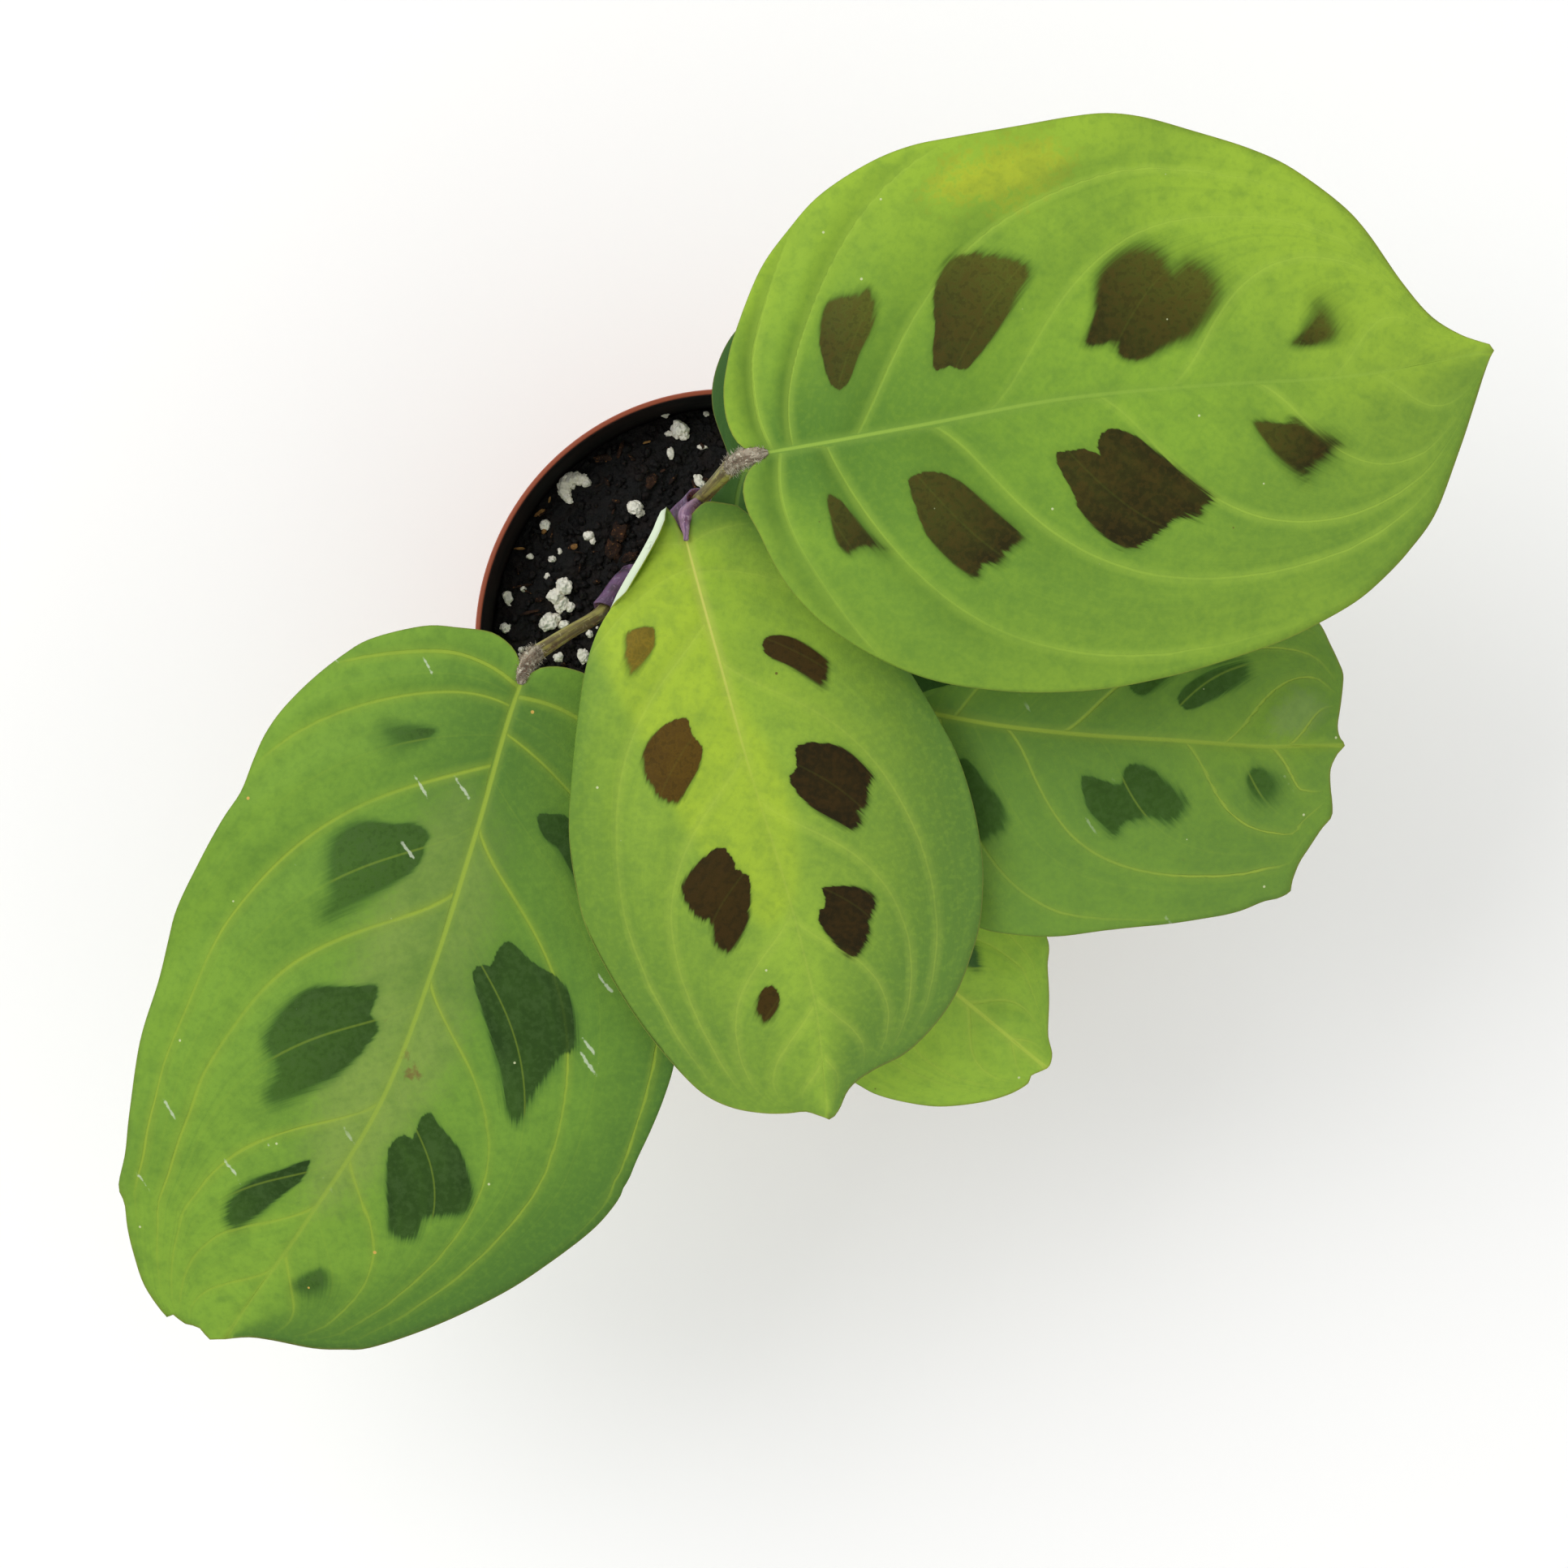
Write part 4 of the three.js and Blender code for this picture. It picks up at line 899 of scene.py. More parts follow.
        "base": (28.1, -11.5, 98.0), "heading": -4.6, "length": 68.7, "wave": 0.7, "seed": 4.0,
        "left": [
            (0.6, 1.5), (3, 3), (7, 4.4), (13, 6.5), (22, 10.5), (34, 16.5), (47, 20.6), (57, 21.3),
            (60.5, 20.6), (63.4, 18.9), (65.5, 15.5), (66.8, 13.2), (67.7, 11.3), (67.8, 9.4), (67.6, 6),
            (67.3, 3.1), (67.7, 1.4), (68.4, 0.6),
        ],
        "right": [
            (-1, 2.5), (-2.6, 9), (-1.5, 17), (2.5, 24), (8, 29.2), (13.7, 32.6), (19.5, 33.3),
            (25.8, 33.1), (34, 31.5), (43.4, 29.8), (50.7, 28.1), (54.5, 26.9), (58, 25.2), (60.3, 24.5),
            (62.1, 23.3), (62.2, 21.8), (63.1, 18.8), (64.4, 16.4), (66.2, 13.2), (67.6, 11.2), (67.5, 9),
            (67, 6.6), (66.7, 3.8), (67.6, 1.4), (68.4, 0.5),
        ],
        "bow": [0, -1.3, -1.7, -1.4, -1.2, 0], "rise": [0, 1.3, 1, -0.5, -2.8, -6],
        "leftDrop": [0, -6, -8, -6, -3, 0], "rightDrop": [0, -2, -3, -3, -2, 0],
        "leftVeins": [0.02, 0.12, 0.38, 0.75, 0.9], "rightVeins": [0.02, 0.08, 0.25, 0.66, 0.86],
        "blotches": [(45, -20, 0.7)],
        "spots": [
            (0.3, 0.4, [(8.5, -7), (11, -8), (13, -10.5), (15.5, -13.5), (16, -17), (12, -19), (9, -13)]),
            (0.25, 0.4, [(27.5, -8.5), (29, -8), (33, -9), (34, -8.5), (34, -6.5), (35.5, -5.5), (38, -6),
                (41, -8), (44, -11), (42, -14), (39.5, -13.5), (37, -14), (34.5, -15), (33.5, -17),
                (31, -15), (29, -13)]),
            (0.6, 0.8, [(53.5, -6), (55, -4.5), (58, -6.5), (57.5, -9), (55.5, -9.5), (54, -8)]),
            (0.4, 0.5, [(36, 5), (39.5, 8), (40.5, 10.5), (36, 9.5), (33.5, 7)]),
            (0.3, 0.4, [(41.5, 5), (43, 7.5), (47.5, 10.5), (51.5, 11.5), (52.5, 9.5), (49.5, 7),
                (45.5, 4.5), (43, 3.5)]),
        ],
        "look": {**commonLook,
            "base": "#5C8033", "green": "#688C37", "tip": "#7E9F33", "edge": "#6C9035",
            "leftSide": "#668A35", "rightSide": "#6C9037", "shade": "#557835", "vein": "#93AA3E",
            "midrib": "#92A83C", "halo": "#3A5E24", "spotDark": "#284113", "spotLight": "#456A23",
            "spotFleck": "#425E2C", "patch": "#8A9C65", "haloReach": -1.8, "patchShow": 0.4,
            "ribWidth": 0.52, "faintShow": 0.28, "veinWidth": 0.38, "veinShow": 0.65, "patchSoft": 1.5,
            "patchMottle": 3.0, "ribEnd": 0.5, "ridgeShow": 0.16, "ribShade": 0.18, "scratches": 0.35,
            "patchOutline": [(57, 1), (63, 2), (65, 6), (61, 8), (57, 5)],
        },
    },
    "bottom": {**commonLeaf,
        "base": (-2.0, -26.1, 86.0), "heading": -38.6, "length": 67.9, "wave": 0.5, "seed": 5.0,
        "left": [
            (-1.5, 2), (-2.2, 5), (2, 9.5), (10, 14), (21.6, 18.1), (35, 19.8), (46.5, 19), (54.6, 16.3),
            (57.6, 12.8), (61, 9), (64.2, 4.8), (65.4, 3.6), (67, 2.4), (67.9, 0.9),
        ],
        "right": [
            (-1.5, 2), (-2.2, 5), (1, 9), (8, 14.2), (20, 19.6), (34, 21.6), (45, 20.7), (50.2, 19.6),
            (57.2, 16), (62.2, 11.6), (65.5, 7.4), (67, 3.9), (66.6, 2.5), (67.3, 1.1),
        ],
        "bow": [0, 0.2, 0.5, 0.5, 0.3, 0], "rise": [0, 1.2, 1, -0.5, -3.5, -8],
        "leftDrop": [0, -2, -3, -3, -2, 0], "rightDrop": [0, -2, -3, -3, -2, 0],
        "spots": [
            (0.4, 0.4, [(43, 9), (46, 8.2), (49, 5.8), (47, 5), (43, 5.5), (39, 6), (39, 8.5)]),
            (0.4, 0.4, [(24, 6), (28, 7), (32, 10), (28, 12), (24, 10)]),
            (0.4, 0.4, [(26, -6), (31, -7), (34, -11), (29, -12), (25, -9)]),
        ],
        "look": {**commonLook,
            "base": "#80A638", "green": "#94B840", "tip": "#96B83E", "edge": "#90B43C",
            "leftSide": "#8EB23A", "rightSide": "#92B63C", "shade": "#628A38", "vein": "#A4BC46",
            "midrib": "#B4C84E", "spotDark": "#2E4C22", "spotLight": "#446A30", "spotFleck": "#4C6638",
            "patch": "#8CB040", "patchShow": 0.6, "faintShow": 0.4, "veinWidth": 0.36, "veinShow": 0.42,
            "ribEnd": 0.6, "trough": 0.2,
        },
    },
    "under": {**commonLeaf,
        "base": (1.3, 26.3, 92.0), "heading": -9.6, "length": 90.4, "wave": 0.6, "seed": 6.0,
        "left": [
            (-2, 3.2), (-5, 9), (-5.4, 15), (-3.3, 21.5), (2, 27.3), (14, 32), (28, 33), (44, 30),
            (62, 23.3), (78, 11.5), (85, 5),
        ],
        "right": [
            (-1.4, 2.2), (-2.8, 5), (-2, 9.5), (3, 17), (11, 23), (22, 27.3), (34, 30), (46, 29),
            (58, 25.5), (71, 18.5), (82, 9.5),
        ],
        "bow": [0, -0.2, -0.3, -0.3, -0.2, 0], "rise": [0, 0, -1.5, -3, -6, -10],
        "leftDrop": [0, -2, -3, -3, -2, 0], "rightDrop": [0, -4, -7, -6, -3, 0],
        "spots": [
            (0.3, 0.4, [(18, 6), (22, 8), (27, 13), (24, 15), (19, 12)]),
            (0.3, 0.4, [(38, 5), (43, 7), (49, 13), (44, 15), (39, 11)]),
            (0.3, 0.4, [(20, -6), (24, -8), (29, -13), (25, -14), (20, -11)]),
            (0.3, 0.4, [(40, -5), (45, -7), (51, -12), (46, -14), (41, -10)]),
        ],
        # painted shade: this leaf's colours are darkened to the deep shade it lies in below the others
        "look": {**commonLook,
            "base": "#3B5E2B", "green": "#44682E", "tip": "#44682E", "edge": "#3B5E2B",
            "leftSide": "#3B5E2B", "rightSide": "#40622B", "shade": "#3E612E", "vein": "#7C9C40",
            "midrib": "#7C9C40", "halo": "#335420", "spotDark": "#223C1B", "spotLight": "#355828",
            "spotFleck": "#3E5E30", "patch": "#537836", "patchShow": 0.5, "faintShow": 0.3,
            "veinWidth": 0.4, "veinShow": 0.5, "ribEnd": 0.4, "ridgeShow": 0.1,
        },
    },
}

bladeParts = {
    "rows": 132,
    "columns": 40,
    "thickness": 0.42,
    "pleat": 0.5,
    "fullGap": 6.0,  # veins this far apart stand between pleats of full height
    "groove": 0.4,
    "grooveWidth": 0.8,
    "bend": (0.3, 0.75),
    "marginEase": 1.6,
    "waves": 2.5,
    "ripple": 0.4,
    "curlRows": (0.038, 0.056, 0.155, 0.22),
    "curlColumn": 0.8,
    "curlRadius": 1.2,
    "curlTurn": 3.05,
    "ribShares": (0.012, 0.97),
    "ribRadii": [0.75, 0.65, 0.5, 0.38, 0.25],
}

# What all leaves share: pattern scales per metre, but per millimetre for the noise that is drawn out
# along the veins, and colours
leafSkin = {
    "drawnOut": [((1.7, 0.12, 1.0), 0.0, 2.0), ((1.6, 0.13, 1.0), 4.0, 3.0), ((0.35, 0.06, 1.0), 9.0, 2.0)],
    "clouds": [(40.0, 4.0), (300.0, 5.0), (1100.0, 4.0)],  # of 25, 3 and 0.9 mm, with their detail
    "cells": [3000.0, 140.0, 75.0, 88.0],  # skin cells of 0.3 mm, then a speck every 7, 13 and 11 mm
    "shakeScale": 160.0,
    "scratchScale": (310.0, 44.0, 40.0),  # scratches 3 mm apart and 23 mm long
    "scratchTurn": -0.57,
    "underCloudScale": 120.0,  # mottling of 8 mm
    "underGrainScale": 1800.0,  # grain of 0.6 mm
    "streakScale": 500.0,  # streaks of 2 mm
    "margin": "#8A7C3C",
    "blotch": "#74462F",
    "dust": "#CFD4A8",
    "scratch": "#CCD6BE",
    "rust": "#C9A552",
    "point": "#5E4222",
    "underside": "#BCCDA6",
    "underShade": "#A6BD8C",
    "underSpot": "#7F9270",
    "underVein": "#CFDCB8",
    "rolledMargin": "#D6E3CA",
    "midribBack": "#B4C596",
}

# Lateral veins leave the midrib at a slant, sweep outwards and then run forward. By the share of the
# blade's length at which a vein leaves the midrib: its reach as a share of the half width, and its
# bend as a share of the length.
veinShape = {
    "start": [-0.2, 0.0, 0.035, 0.13, 0.32, 0.63, 0.85, 1.0],
    "reach": [1.7, 1.3, 1.08, 0.86, 0.72, 0.62, 0.55, 0.5],
    "bend": [0.1, 0.08, 0.11, 0.14, 0.13, 0.09, 0.06, 0.03],
    "follow": 0.85,
    "backSweep": 0.045,
    "backFade": 0.08,
    "backSpread": 0.07,
    "foot": 0.032,
    "footShares": (0.02, 0.2),
    "footSpread": 0.03,
    "halvings": 26,
}


def veinStart(leaf, side, along, out):
    # The share of the midrib where the vein through each place begins, found by halving
    shape = veinShape
    length = leaf["length"]
    width = max(o for _, o in leaf[side])
    sweep = shape["backSweep"] * np.exp(-np.maximum(along, 0) / (shape["backFade"] * length))
    x = along / length + sweep * (1 - np.exp(-out / (shape["backSpread"] * length)))
    foot = shape["foot"] * easeStep(along / length, *shape["footShares"])
    x = x + foot * np.exp(-out / (shape["footSpread"] * length))
    # Beyond the widest place the veins close in with the margin
    margin = np.array(leaf[side] + [(length, 0)])
    margin = margin[np.argmax(margin[:, 1]):]
    closing = np.interp(along, np.maximum.accumulate(margin[:, 0]), margin[:, 1]) / width
    out = out / np.maximum(closing, 0.1) ** shape["follow"]
    first = shape["start"][0]
    low, high = np.full(len(x), first), np.clip(x, first + 0.001, 1.0)
    for _ in range(shape["halvings"]):
        middle = (low + high) / 2
        reach = np.interp(middle, shape["start"], shape["reach"]) * width
        bend = np.interp(middle, shape["start"], shape["bend"])
        beyond = reach * (1 - np.exp(-np.maximum(x - middle, 0) / bend)) > out
        low, high = np.where(beyond, middle, low), np.where(beyond, high, middle)
    return (low + high) / 2


def veinPhase(leaf, side, along, out):
    # Whole numbers lie on the main veins
    starts = [veinShape["start"][0]] + leaf[side + "Veins"] + [1.0]
    return np.interp(veinStart(leaf, side, along, out), starts, np.arange(-1, len(starts) - 1))


def bladeSide(leaf, side, row, column):
    # One half of a blade: row runs from base to tip along the margin, column from midrib to margin
    b = bladeParts
    margin = [(0, 0)] + leaf[side] + [(leaf["length"], 0)]
    edge = evenlyThrough(margin, row)
    sign = 1 if side == "left" else -1
    # The rows fan out from the blade's base: most begin on the midrib's first part
    start = 0.1 * row + 0.9 * row ** 3.5
    mid = np.stack([start * leaf["length"], sign * smoothThrough(leaf["bow"], start)], -1)
    bend = mid + np.array(b["bend"]) * (edge - mid)
    size = np.linalg.norm(edge - mid, axis=1)
    reach, outwards, rolled, lift = column, column, 0.0, 0.0
    if side == "right" and leaf["curl"]:
        # The margin by the base rolls up and over, and shows its underside
        low, full, fading, end = b["curlRows"]
        curled = easeStep(row, low, full) * (1 - easeStep(row, fading, end))
        ahead = evenlyThrough(margin, row + 0.01) - evenlyThrough(margin, row - 0.01)
        ahead = ahead / np.maximum(np.linalg.norm(ahead, axis=1), 1e-6)[:, None]
        out = np.stack([-ahead[:, 1], ahead[:, 0]], -1)
        radius = np.minimum(b["curlRadius"] * np.maximum(curled, 0.1), 0.3 * size)
        reach = np.minimum(column / b["curlColumn"], 1)
        share = np.clip((column - b["curlColumn"]) / (1 - b["curlColumn"]), 0, 1)
        strip = radius / np.maximum(size, 1e-6)
        outwards = reach * (1 - strip) + share * strip
        edge = edge - out * radius[:, None]
        turn = np.maximum(b["curlTurn"] * curled, 1e-3)
        length = radius * turn / np.sin(np.minimum(turn, math.pi / 2))
        rolled = out * (length / turn * np.sin(turn * share))[:, None]
        lift = length / turn * (1 - np.cos(turn * share))
    r = reach[:, None]
    plan = (1 - r) ** 2 * mid + 2 * (1 - r) * r * bend + r ** 2 * edge + rolled
    away = np.maximum(plan[:, 1] - mid[:, 1] * easeStep(1 - column, 0, 1), 0)

    # How far apart the veins are, from the phase half a millimetre on
    phase = veinPhase(leaf, side, plan[:, 0], away)
    change = [veinPhase(leaf, side, plan[:, 0] + 0.5, away), veinPhase(leaf, side, plan[:, 0], away + 0.5)]
    gap = 0.5 / np.maximum(np.hypot(change[0] - phase, change[1] - phase), 0.01)

    # Pleats between the veins, long waves and short ripples towards the margin, a groove on the midrib
    pleat = np.abs(np.sin(math.pi * phase)) ** 1.6 * np.minimum(gap / b["fullGap"], 1) ** 0.7
    pleat = pleat * np.sin(math.pi * np.clip(reach, 0, 1)) ** 0.8
    wave = np.sin(fullTurn * b["waves"] * row + 1) * np.sin(math.pi * row) * reach ** 3
    ripple = np.array([noise.noise(Vector((a * 15, leaf["seed"] * 5, o * 2.2))) for a, o in zip(row, reach)])
    ripple = ripple * reach * np.sin(math.pi * row) ** 0.5
    groove = np.exp(-(away / b["grooveWidth"]) ** 2) * (1 - 0.7 * row)
    height = (leaf["base"][2] + smoothThrough(leaf["rise"], np.maximum(plan[:, 0], 0) / leaf["length"])
              + smoothThrough(leaf[side + "Drop"], row) * reach ** b["marginEase"]
              + b["pleat"] * pleat + leaf["wave"] * wave + b["ripple"] * ripple - b["groove"] * groove + lift)
    readings = {"veinPhase": phase, "veinGap": gap, "away": away, "column": outwards,
                "margin": (1 - outwards) * size}
    return np.stack([plan[:, 0], sign * plan[:, 1], height], -1), readings


def insideDistance(points, outline):
    # Distance to a rounded closed outline in mm, positive inside it
    corners = [outline[-1]] + outline + outline[:2]
    shares = np.linspace(1, len(corners) - 2, 4 * len(outline), endpoint=False) / (len(corners) - 1)
    outline = smoothThrough(corners, shares)
    nearest = np.full(len(points), 1e9)
    inside = np.zeros(len(points), dtype=bool)
    for a, b in zip(outline, np.roll(outline, -1, axis=0)):
        edge = b - a
        share = np.clip(((points - a) @ edge) / (edge @ edge), 0, 1)
        nearest = np.minimum(nearest, np.linalg.norm(points - a - share[:, None] * edge, axis=1))
        crossing = edge[0] * (points[:, 1] - a[1]) / (edge[1] if edge[1] else 1e-9) + a[0]
        inside ^= ((a[1] > points[:, 1]) != (b[1] > points[:, 1])) & (points[:, 0] < crossing)
    return np.where(inside, nearest, -nearest)


# What each point of a blade says of its place there, for its skin to read. Distances are in mm.
bladeReadings = ("spot", "spotTone", "spotSoft", "spotOuter", "veinPhase", "veinGap", "flow", "away",
                 "column", "margin", "along", "across", "patch", "blotch")


def leafTop(name, leaf):
    # Velvety leaf skin: satin, pleated between its veins, with soft-ended dark spots
    look, s = leaf["look"], leafSkin
    material, add = newMaterial("leafTop_" + name)
    place = add("TexCoord", out="Object")
    read = {key: add("Attribute", out="Fac", attribute_name=key) for key in bladeReadings}
    away, along, column, margin = read["away"], read["along"], read["column"], read["margin"]
    across, outer, phase = read["across"], read["spotOuter"], read["veinPhase"]

    # Noise drawn out along the veins; its scale is per millimetre, across them and along them
    apart = add("Math", [across, 1.5, leaf["seed"]], operation="MULTIPLY_ADD")
    onBlade = add("CombineXYZ", [read["flow"], away, apart])
    drawnOut = []
    for scale, shift, detail in s["drawnOut"]:
        drawn = add("Mapping", {"Vector": onBlade, "Location": (0, 0, shift), "Scale": scale})
        drawnOut.append(add("TexNoise", {"Vector": drawn, "Scale": 1.0, "Detail": detail}))
    fine, jag, band = drawnOut
    broad, cloud, grain = [add("TexNoise", {"Vector": place, "Scale": scale, "Detail": detail})
                           for scale, detail in s["clouds"]]
    pebble, specks, points, rusts = [add("TexVoronoi", {"Vector": place, "Scale": scale})
                                     for scale in s["cells"]]

    # Green from base to tip, then towards the margin, in broad clouds and along the veins. The darker base,
    # the margins and the sides are partly the leaf's own tone and partly painted light and shade, for the
    # blade's tilt and for shadow from the leaves above
    lobes = add("MapRange", [along, 0.02, 0.45, 1.0, 0.0])
    edgeShow = add("MapRange", [along, 0.7, 1.0, 0.8, 0.3])
    turnedDown = add("MapRange", [along, 0.1, 0.35, 0.0, look["turnedDown"]])
    mottle = add("Math", [cloud, grain], operation="ADD")
    patch = add("Math", [mottle, look["patchMottle"], read["patch"]], operation="MULTIPLY_ADD")
    patchFrom, patchTo = [look["patchMottle"] + soft * look["patchSoft"] for soft in (-1, 1)]
    colour = layColours(add, toLinear(look["base"]), [
        (along, 0.0, 0.55, 1.0, look["green"]),
        (column, 0.02, 0.38, lobes, look["green"]),
        (along, 0.5, 1.0, 1.0, look["tip"]),
        (column, 0.45, 1.0, edgeShow, look["edge"]),
        # painted light and shade over the leaf's own tone: one side of the blade lighter and the other
        # darker, for its tilt and for shadow from the leaves above
        (across, 0.1, 0.9, 0.6, look["leftSide"]),
        (across, -0.1, -0.9, 0.6, look["rightSide"]),
        # painted shade where the margin turns down, away from the light
        (across, 0.68, 1.0, turnedDown, look["shade"]),
        # the lighter patch: a yellow mottle on the upper right leaf, a painted pool of light on the centre
        # leaf, a painted grey sheen along the lower left leaf's midrib
        (patch, patchFrom, patchTo, look["patchShow"], look["patch"]),
        (broad, 0.42, 0.72, 0.4, look["shade"]),
        (band, 0.45, 0.75, 0.16, look["shade"]),
        (cloud, 0.42, 0.7, 0.26, look["shade"]),
        (grain, 0.45, 0.7, 0.16, look["shade"]),
        (fine, 0.45, 0.7, 0.03, look["vein"]),
        (grain, 0.55, 0.3, 0.12, look["tip"]),
        (read["spot"], look["haloReach"], 0.2, 0.22, look["halo"]),
    ])

    # Spots: rounded towards the midrib, drawn out in ragged teeth and soft green towards the margin
    raggedness = add("MapRange", [outer, -0.1, 0.7, 0.7, look["teeth"]])
    jag = add("Math", [jag, 0.52], operation="SUBTRACT")
    edge = add("Math", [jag, raggedness, read["spot"]], operation="MULTIPLY_ADD")
    spread = add("MapRange", [outer, -0.5, 1.0, 0.3, 1.4])
    softness = add("Math", [spread, read["spotSoft"]], operation="MULTIPLY")
    depth = add("Math", [edge, softness], operation="DIVIDE")
    dense = add("MapRange", [read["spotTone"], 0.75, 1.0, 0.985, 0.8])
    mask = add("MapRange", [depth, -1.0, 1.0, 0.0, dense], interpolation_type="SMOOTHSTEP")
    lean = add("Math", [outer, across], operation="MULTIPLY")
    tone = add("Math", [lean, look["spotLean"], read["spotTone"]], operation="MULTIPLY_ADD")
    spotColours = [toLinear(look["spotDark"]), toLinear(look["spotLight"])]
    spotColour = layColours(add, add("Mix", [tone, *spotColours], data_type="RGBA"), [
        (read["spot"], 0.6, 4.0, look["spotCentre"], look["spotLight"]),
        (band, 0.45, 0.7, look["spotCentre"], look["spotLight"]),
        (cloud, 0.5, 0.62, 0.22, look["spotFleck"]),
        (grain, 0.5, 0.58, 0.24, look["spotFleck"]),
        (grain, 0.48, 0.38, 0.25, look["spotDark"]),
        (outer, 0.0, 1.0, look["spotFade"], look["spotLight"]),
        (depth, 1.6, -0.6, 0.5, look["halo"]),
    ])
    colour = layColours(add, colour, [(depth, -3.0, 0.3, 0.5, look["halo"])])
    colour = add("Mix", [mask, colour, spotColour], data_type="RGBA")

    # Distance in mm from the nearest main vein, and from the fainter one between two of them
    turns = add("Math", [phase, 0.5], operation="PINGPONG")
    toMain = add("Math", [turns, read["veinGap"]], operation="MULTIPLY")
    between = add("Math", [0.5, turns], operation="SUBTRACT")
    toFaint = add("Math", [between, read["veinGap"]], operation="MULTIPLY")

    # Veins come and go, and fade in the spots, beside the midrib and at the margin
    comesAndGoes = add("MapRange", [broad, 0.38, 0.62, 0.5, 1.15])
    outsideSpots = add("MapRange", [mask, 0.0, 1.0, comesAndGoes, 0.05])
    besideMidrib = add("MapRange", [away, 0.25, 0.6, 0.0, outsideSpots])
    fading = add("MapRange", [margin, 0.8, 5.0, 0.0, besideMidrib])
    inSpots = add("MapRange", [mask, 0.0, 1.0, 0.25 * look["faintShow"], look["faintShow"]])
    faintShow = add("MapRange", [margin, 3.0, 10.0, 0.0, inSpots])
    veinEdge = add("MapRange", [column, 0.0, 0.9, 1.1 * look["veinWidth"], 0.7 * look["veinWidth"]])
    # Painted shade: the pleat just before each main vein is darkened as if shaded in its trough
    beforeVein = add("Math", [phase], operation="FRACT")
    troughShadeShow = add("MapRange", [along, 0.05, 0.5, look["trough"], 0.0])
    # Painted shade beside the midrib's groove, fading towards the tip
    ribGrooveShade = add("MapRange", [along, 0.2, 1.0, look["ribShade"], 0.0])
    ribShow = add("MapRange", [along, 0.1, look["ribReach"], 0.85, look["ribEnd"]])
    trough, ridge, vein, ribSoft = [add("Math", pair, operation="MULTIPLY") for pair in (
        [fading, troughShadeShow], [fading, look["ridgeShow"]], [fading, look["veinShow"]], [ribShow, 0.3])]
    colour = layColours(add, colour, [
        (beforeVein, 0.4, 0.96, trough, look["halo"]),
        (toMain, 1.5, 0.2, ridge, look["vein"]),
        (toMain, veinEdge, 0.06, vein, look["vein"]),
        (toFaint, 0.24, 0.05, faintShow, look["vein"]),
        (away, 2.0, 0.4, ribGrooveShade, look["shade"]),
        (away, 1.6, 0.3, ribSoft, look["midrib"]),
        (away, look["ribWidth"], 0.3 * look["ribWidth"], ribShow, look["midrib"]),
        (margin, 0.3, 0.1, 0.35, s["margin"]),
    ])

    # A rusty blotch, dust specks, pale scratches and brown points, most under half a millimetre wide
    blotch = add("Math", [mottle, 3.2, read["blotch"]], operation="MULTIPLY_ADD")
    shake = add("TexNoise", {"Vector": place, "Scale": s["shakeScale"]}, out="Color")
    shaken = add("VectorMath", [shake, (1.4 * mm, 1.4 * mm, 0.0), place], operation="MULTIPLY_ADD")
    turned = add("VectorRotate", {"Vector": shaken, "Angle": s["scratchTurn"]}, rotation_type="Z_AXIS")
    scored = add("Mapping", {"Vector": turned, "Scale": s["scratchScale"]})
    scratch = add("TexVoronoi", {"Vector": scored, "Scale": 1.0})
    broken = add("Math", [grain, 0.24, scratch], operation="MULTIPLY_ADD")
    scratched = add("MapRange", [broad, 0.48, 0.51, 0.0, 0.6 * look["scratches"]])
    colour = layColours(add, colour, [
        (blotch, 3.5, 4.9, 0.62, s["blotch"]),
        (specks, 0.034, 0.022, 0.75, s["dust"]),
        (broken, 0.21, 0.16, scratched, s["scratch"]),
        (rusts, 0.028, 0.02, look["scratches"], s["rust"]),
        (points, 0.02, 0.012, 0.8, s["point"]),
    ])

    # Relief in mm: veins sunk in, bands and grain standing out
    veinGroove = add("MapRange", [toMain, veinEdge, 0.08, 0.0, fading], interpolation_type="SMOOTHSTEP")
    relief = add("Math", [veinGroove, -0.2 * look["veinShow"]], operation="MULTIPLY")
    for pattern, height in ((band, 0.1), (fine, 0.007), (grain, 0.05)):
        relief = add("Math", [pattern, height, relief], operation="MULTIPLY_ADD")
    rough = add("MapRange", [cloud, 0.0, 1.0, 0.44, 0.6])
    finishSurface(add, colour, rough, [(relief, 0.8), (pebble, 0.05)], Specular_IOR_Level=0.1)
    return material


def leafUnderside(name, leaf):
    # The underside: pale and matt, its veins standing out
    s = leafSkin
    material, add = newMaterial("leafUnderside_" + name)
    place = add("TexCoord", out="Object")
    phase, gap, spot, margin = [add("Attribute", out="Fac", attribute_name=key)
                                for key in ("veinPhase", "veinGap", "spot", "margin")]
    toMain = add("Math", [add("Math", [phase, 0.5], operation="PINGPONG"), gap], operation="MULTIPLY")
    cloud = add("TexNoise", {"Vector": place, "Scale": s["underCloudScale"], "Detail": 4.0})
    fine = add("TexNoise", {"Vector": place, "Scale": s["underGrainScale"], "Detail": 3.0})
    colour = layColours(add, toLinear(s["underside"]), [
        (cloud, 0.35, 0.7, 1.0, s["underShade"]),
        (spot, -0.6, 0.6, 0.35, s["underSpot"]),
        (toMain, 0.5, 0.1, 0.6, s["underVein"]),
        (margin, 1.2, 0.8, 0.8 * leaf["curl"], s["rolledMargin"]),
    ])
    relief = add("MapRange", [toMain, 0.5, 0.1, 0.0, 0.2], interpolation_type="SMOOTHSTEP")
    relief = add("Math", [fine, 0.04, relief], operation="MULTIPLY_ADD")
    finishSurface(add, colour, 0.6, [(relief, 0.8)], Specular_IOR_Level=0.3)
    return material


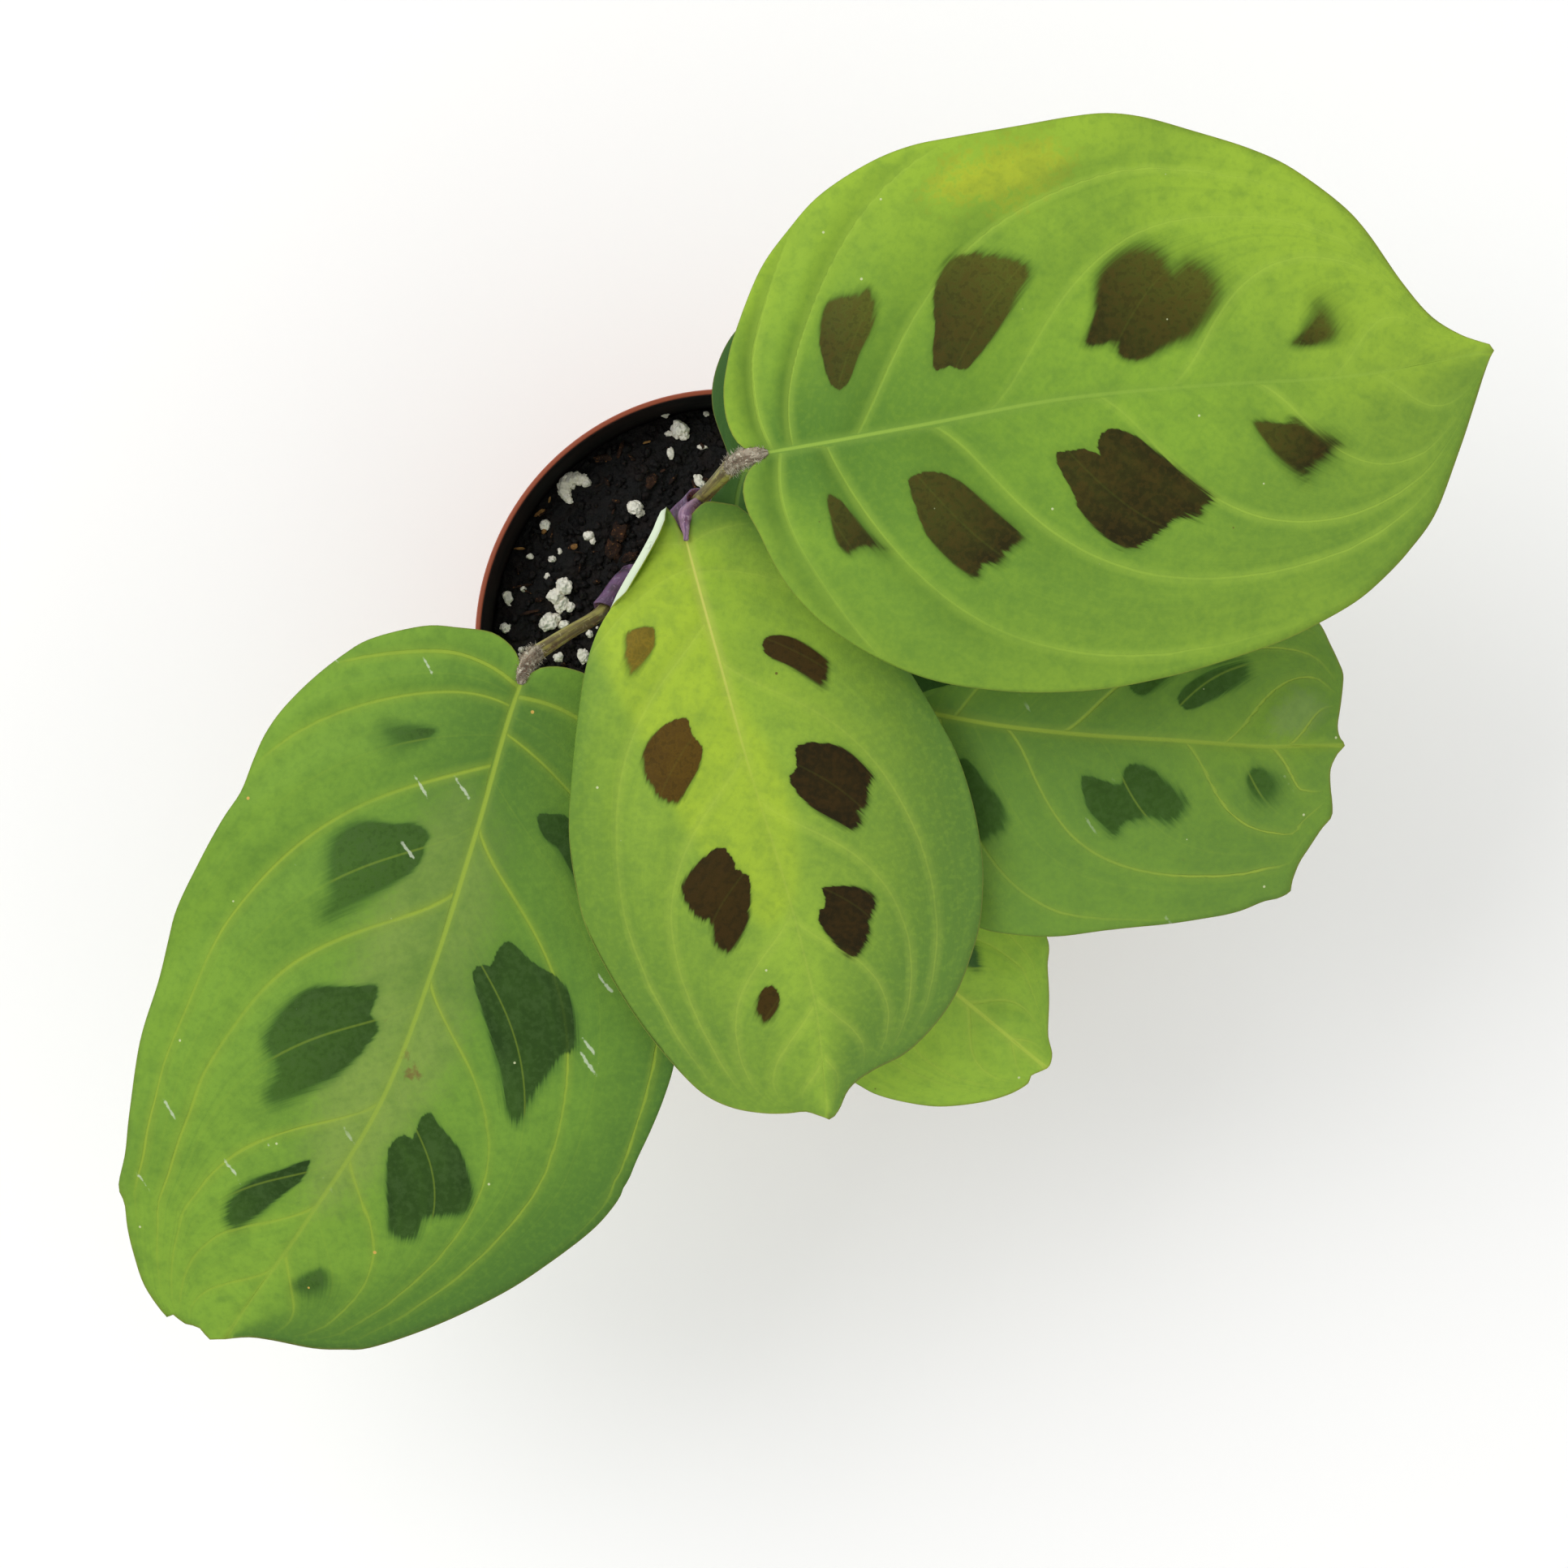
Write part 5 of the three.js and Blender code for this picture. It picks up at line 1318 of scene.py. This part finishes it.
def ribSurface():
    # The midrib's back: pale green, smooth, faintly streaked
    s = leafSkin
    material, add = newMaterial("midribBack")
    place = add("TexCoord", out="Object")
    streak = add("TexNoise", {"Vector": place, "Scale": s["streakScale"], "Detail": 3.0})
    colour = layColours(add, toLinear(s["midribBack"]), [(streak, 0.4, 0.65, 1.0, s["underVein"])])
    finishSurface(add, colour, 0.5, [(streak, 0.1)], Specular_IOR_Level=0.3)
    return material


ribSkin = ribSurface()


def makeBlade(name, leaf):
    b = bladeParts
    heading = math.radians(leaf["heading"])
    turn = np.array([[math.cos(heading), -math.sin(heading)], [math.sin(heading), math.cos(heading)]])

    def onPlant(plan):
        return plan @ turn.T + np.array(leaf["base"][:2])

    bm = stemMesh()
    layers = {key: bm.verts.layers.float.new(key) for key in bladeReadings}
    bmesh.ops.create_grid(bm, x_segments=2 * b["columns"], y_segments=b["rows"], size=0.5, calc_uvs=True)
    verts = list(bm.verts)
    across = np.array([-2 * v.co.x for v in verts])
    row = np.array([v.co.y + 0.5 for v in verts])
    column = np.abs(across) * (0.5 + 0.5 * np.abs(across))
    spots = np.zeros((len(verts), 3))
    values = {key: np.zeros(len(verts)) for key in bladeReadings}
    for side, pick in (("left", across >= -1e-6), ("right", across < -1e-6)):
        shape, readings = bladeSide(leaf, side, row[pick], column[pick])
        spots[pick] = shape
        for key, reading in readings.items():
            values[key][pick] = reading
        values["flow"][pick] = leaf["length"] * veinStart(leaf, side, shape[:, 0], readings["away"])

    # Each point takes the tone and softness of the spot that it is in or nearest to
    plan = spots[:, :2]
    distance = np.full(len(verts), -99.0)
    for spotTone, spotSoft, outline in leaf["spots"]:
        inside = insideDistance(plan, outline)
        nearer = inside > distance
        distance = np.where(nearer, inside, distance)
        centre = np.mean(outline, axis=0)
        reach = np.max(np.linalg.norm(np.array(outline) - centre, axis=1))
        outwards = np.array([0.75, math.copysign(0.66, centre[1])])
        spotOuter = (plan - centre) @ outwards / reach
        for key, value in (("spotTone", spotTone), ("spotSoft", spotSoft), ("spotOuter", spotOuter)):
            values[key] = np.where(nearer, value, values[key])
    values["spot"] = distance
    values["across"] = across
    values["along"] = plan[:, 0] / leaf["length"]
    values["patch"] = insideDistance(plan, leaf["look"]["patchOutline"])
    values["blotch"] = np.max([radius - np.hypot(plan[:, 0] - x, plan[:, 1] - y)
                               for x, y, radius in leaf["blotches"]], axis=0)
    for i, vert in enumerate(verts):
        for key, layer in layers.items():
            vert[layer] = float(values[key][i])
    for vert, (x, y), z in zip(verts, onPlant(plan), spots[:, 2]):
        vert.co = Vector((x, y, z)) * mm
    bmesh.ops.remove_doubles(bm, verts=bm.verts, dist=5 * mergeDistance)
    piece = makePiece("blade_" + name + "Leaf", bm, [leafTop(name, leaf), leafUnderside(name, leaf)],
                      ["blade_" + name])
    solid = piece.modifiers.new("thickness", "SOLIDIFY")
    solid.thickness = b["thickness"] * mm
    solid.offset = 0
    solid.material_offset = 1
    solid.material_offset_rim = 0

    # The midrib stands out under the blade
    shares = np.linspace(*b["ribShares"], 40)
    rib = bladeSide(leaf, "left", shares, np.zeros_like(shares))[0]
    depth = smoothThrough(b["ribRadii"], np.linspace(0, 1, len(shares)))
    bm = stemMesh()
    addStem(bm, np.column_stack([onPlant(rib[:, :2]), rib[:, 2] - depth]), b["ribRadii"], sides=10, steps=80)
    makePiece("rib_" + name, bm, [ribSkin])


makeStems()
print("stems made")
for leafName, leafShape in leaves.items():
    makeBlade(leafName, leafShape)
    print("leaf made:", leafName)


# Floor, light and the pale surroundings. A light is its place, width and power.
studio = {
    "floor": "#FDFDFC",
    "sky": 0.76,
    "aim": (0, -0.01, 0.08),
    "lights": {
        "keyLight": ((-0.75, 0.45, 1.15), 0.9, 7.6),
        "fillLight": ((0.9, -0.5, 0.9), 1.2, 2.4),
    },
}


def makeStudio():
    bm = bmesh.new()
    bmesh.ops.create_grid(bm, x_segments=1, y_segments=1, size=20.0)
    mesh = bpy.data.meshes.new("floor")
    bm.to_mesh(mesh)
    bm.free()
    floor = bpy.data.objects.new("floor", mesh)
    floor.location.z = -0.1 * mm
    material, add = newMaterial("paleFloor")
    finishSurface(add, toLinear(studio["floor"]), 0.8, [])
    mesh.materials.append(material)
    bpy.context.scene.collection.objects.link(floor)

    for name, (place, width, power) in studio["lights"].items():
        light = bpy.data.lights.new(name, "AREA")
        light.size = width
        light.energy = power
        lamp = bpy.data.objects.new(name, light)
        lamp.location = place
        lamp.rotation_euler = (Vector(studio["aim"]) - Vector(place)).to_track_quat("-Z", "Y").to_euler()
        bpy.context.scene.collection.objects.link(lamp)
    world = bpy.data.worlds.new("paleRoom")
    world.use_nodes = True
    background = world.node_tree.nodes["Background"]
    background.inputs["Color"].default_value = (1, 1, 1, 1)
    background.inputs["Strength"].default_value = studio["sky"]
    bpy.context.scene.world = world
    bpy.context.scene.view_settings.view_transform = "Standard"


makeStudio()
print("studio made")
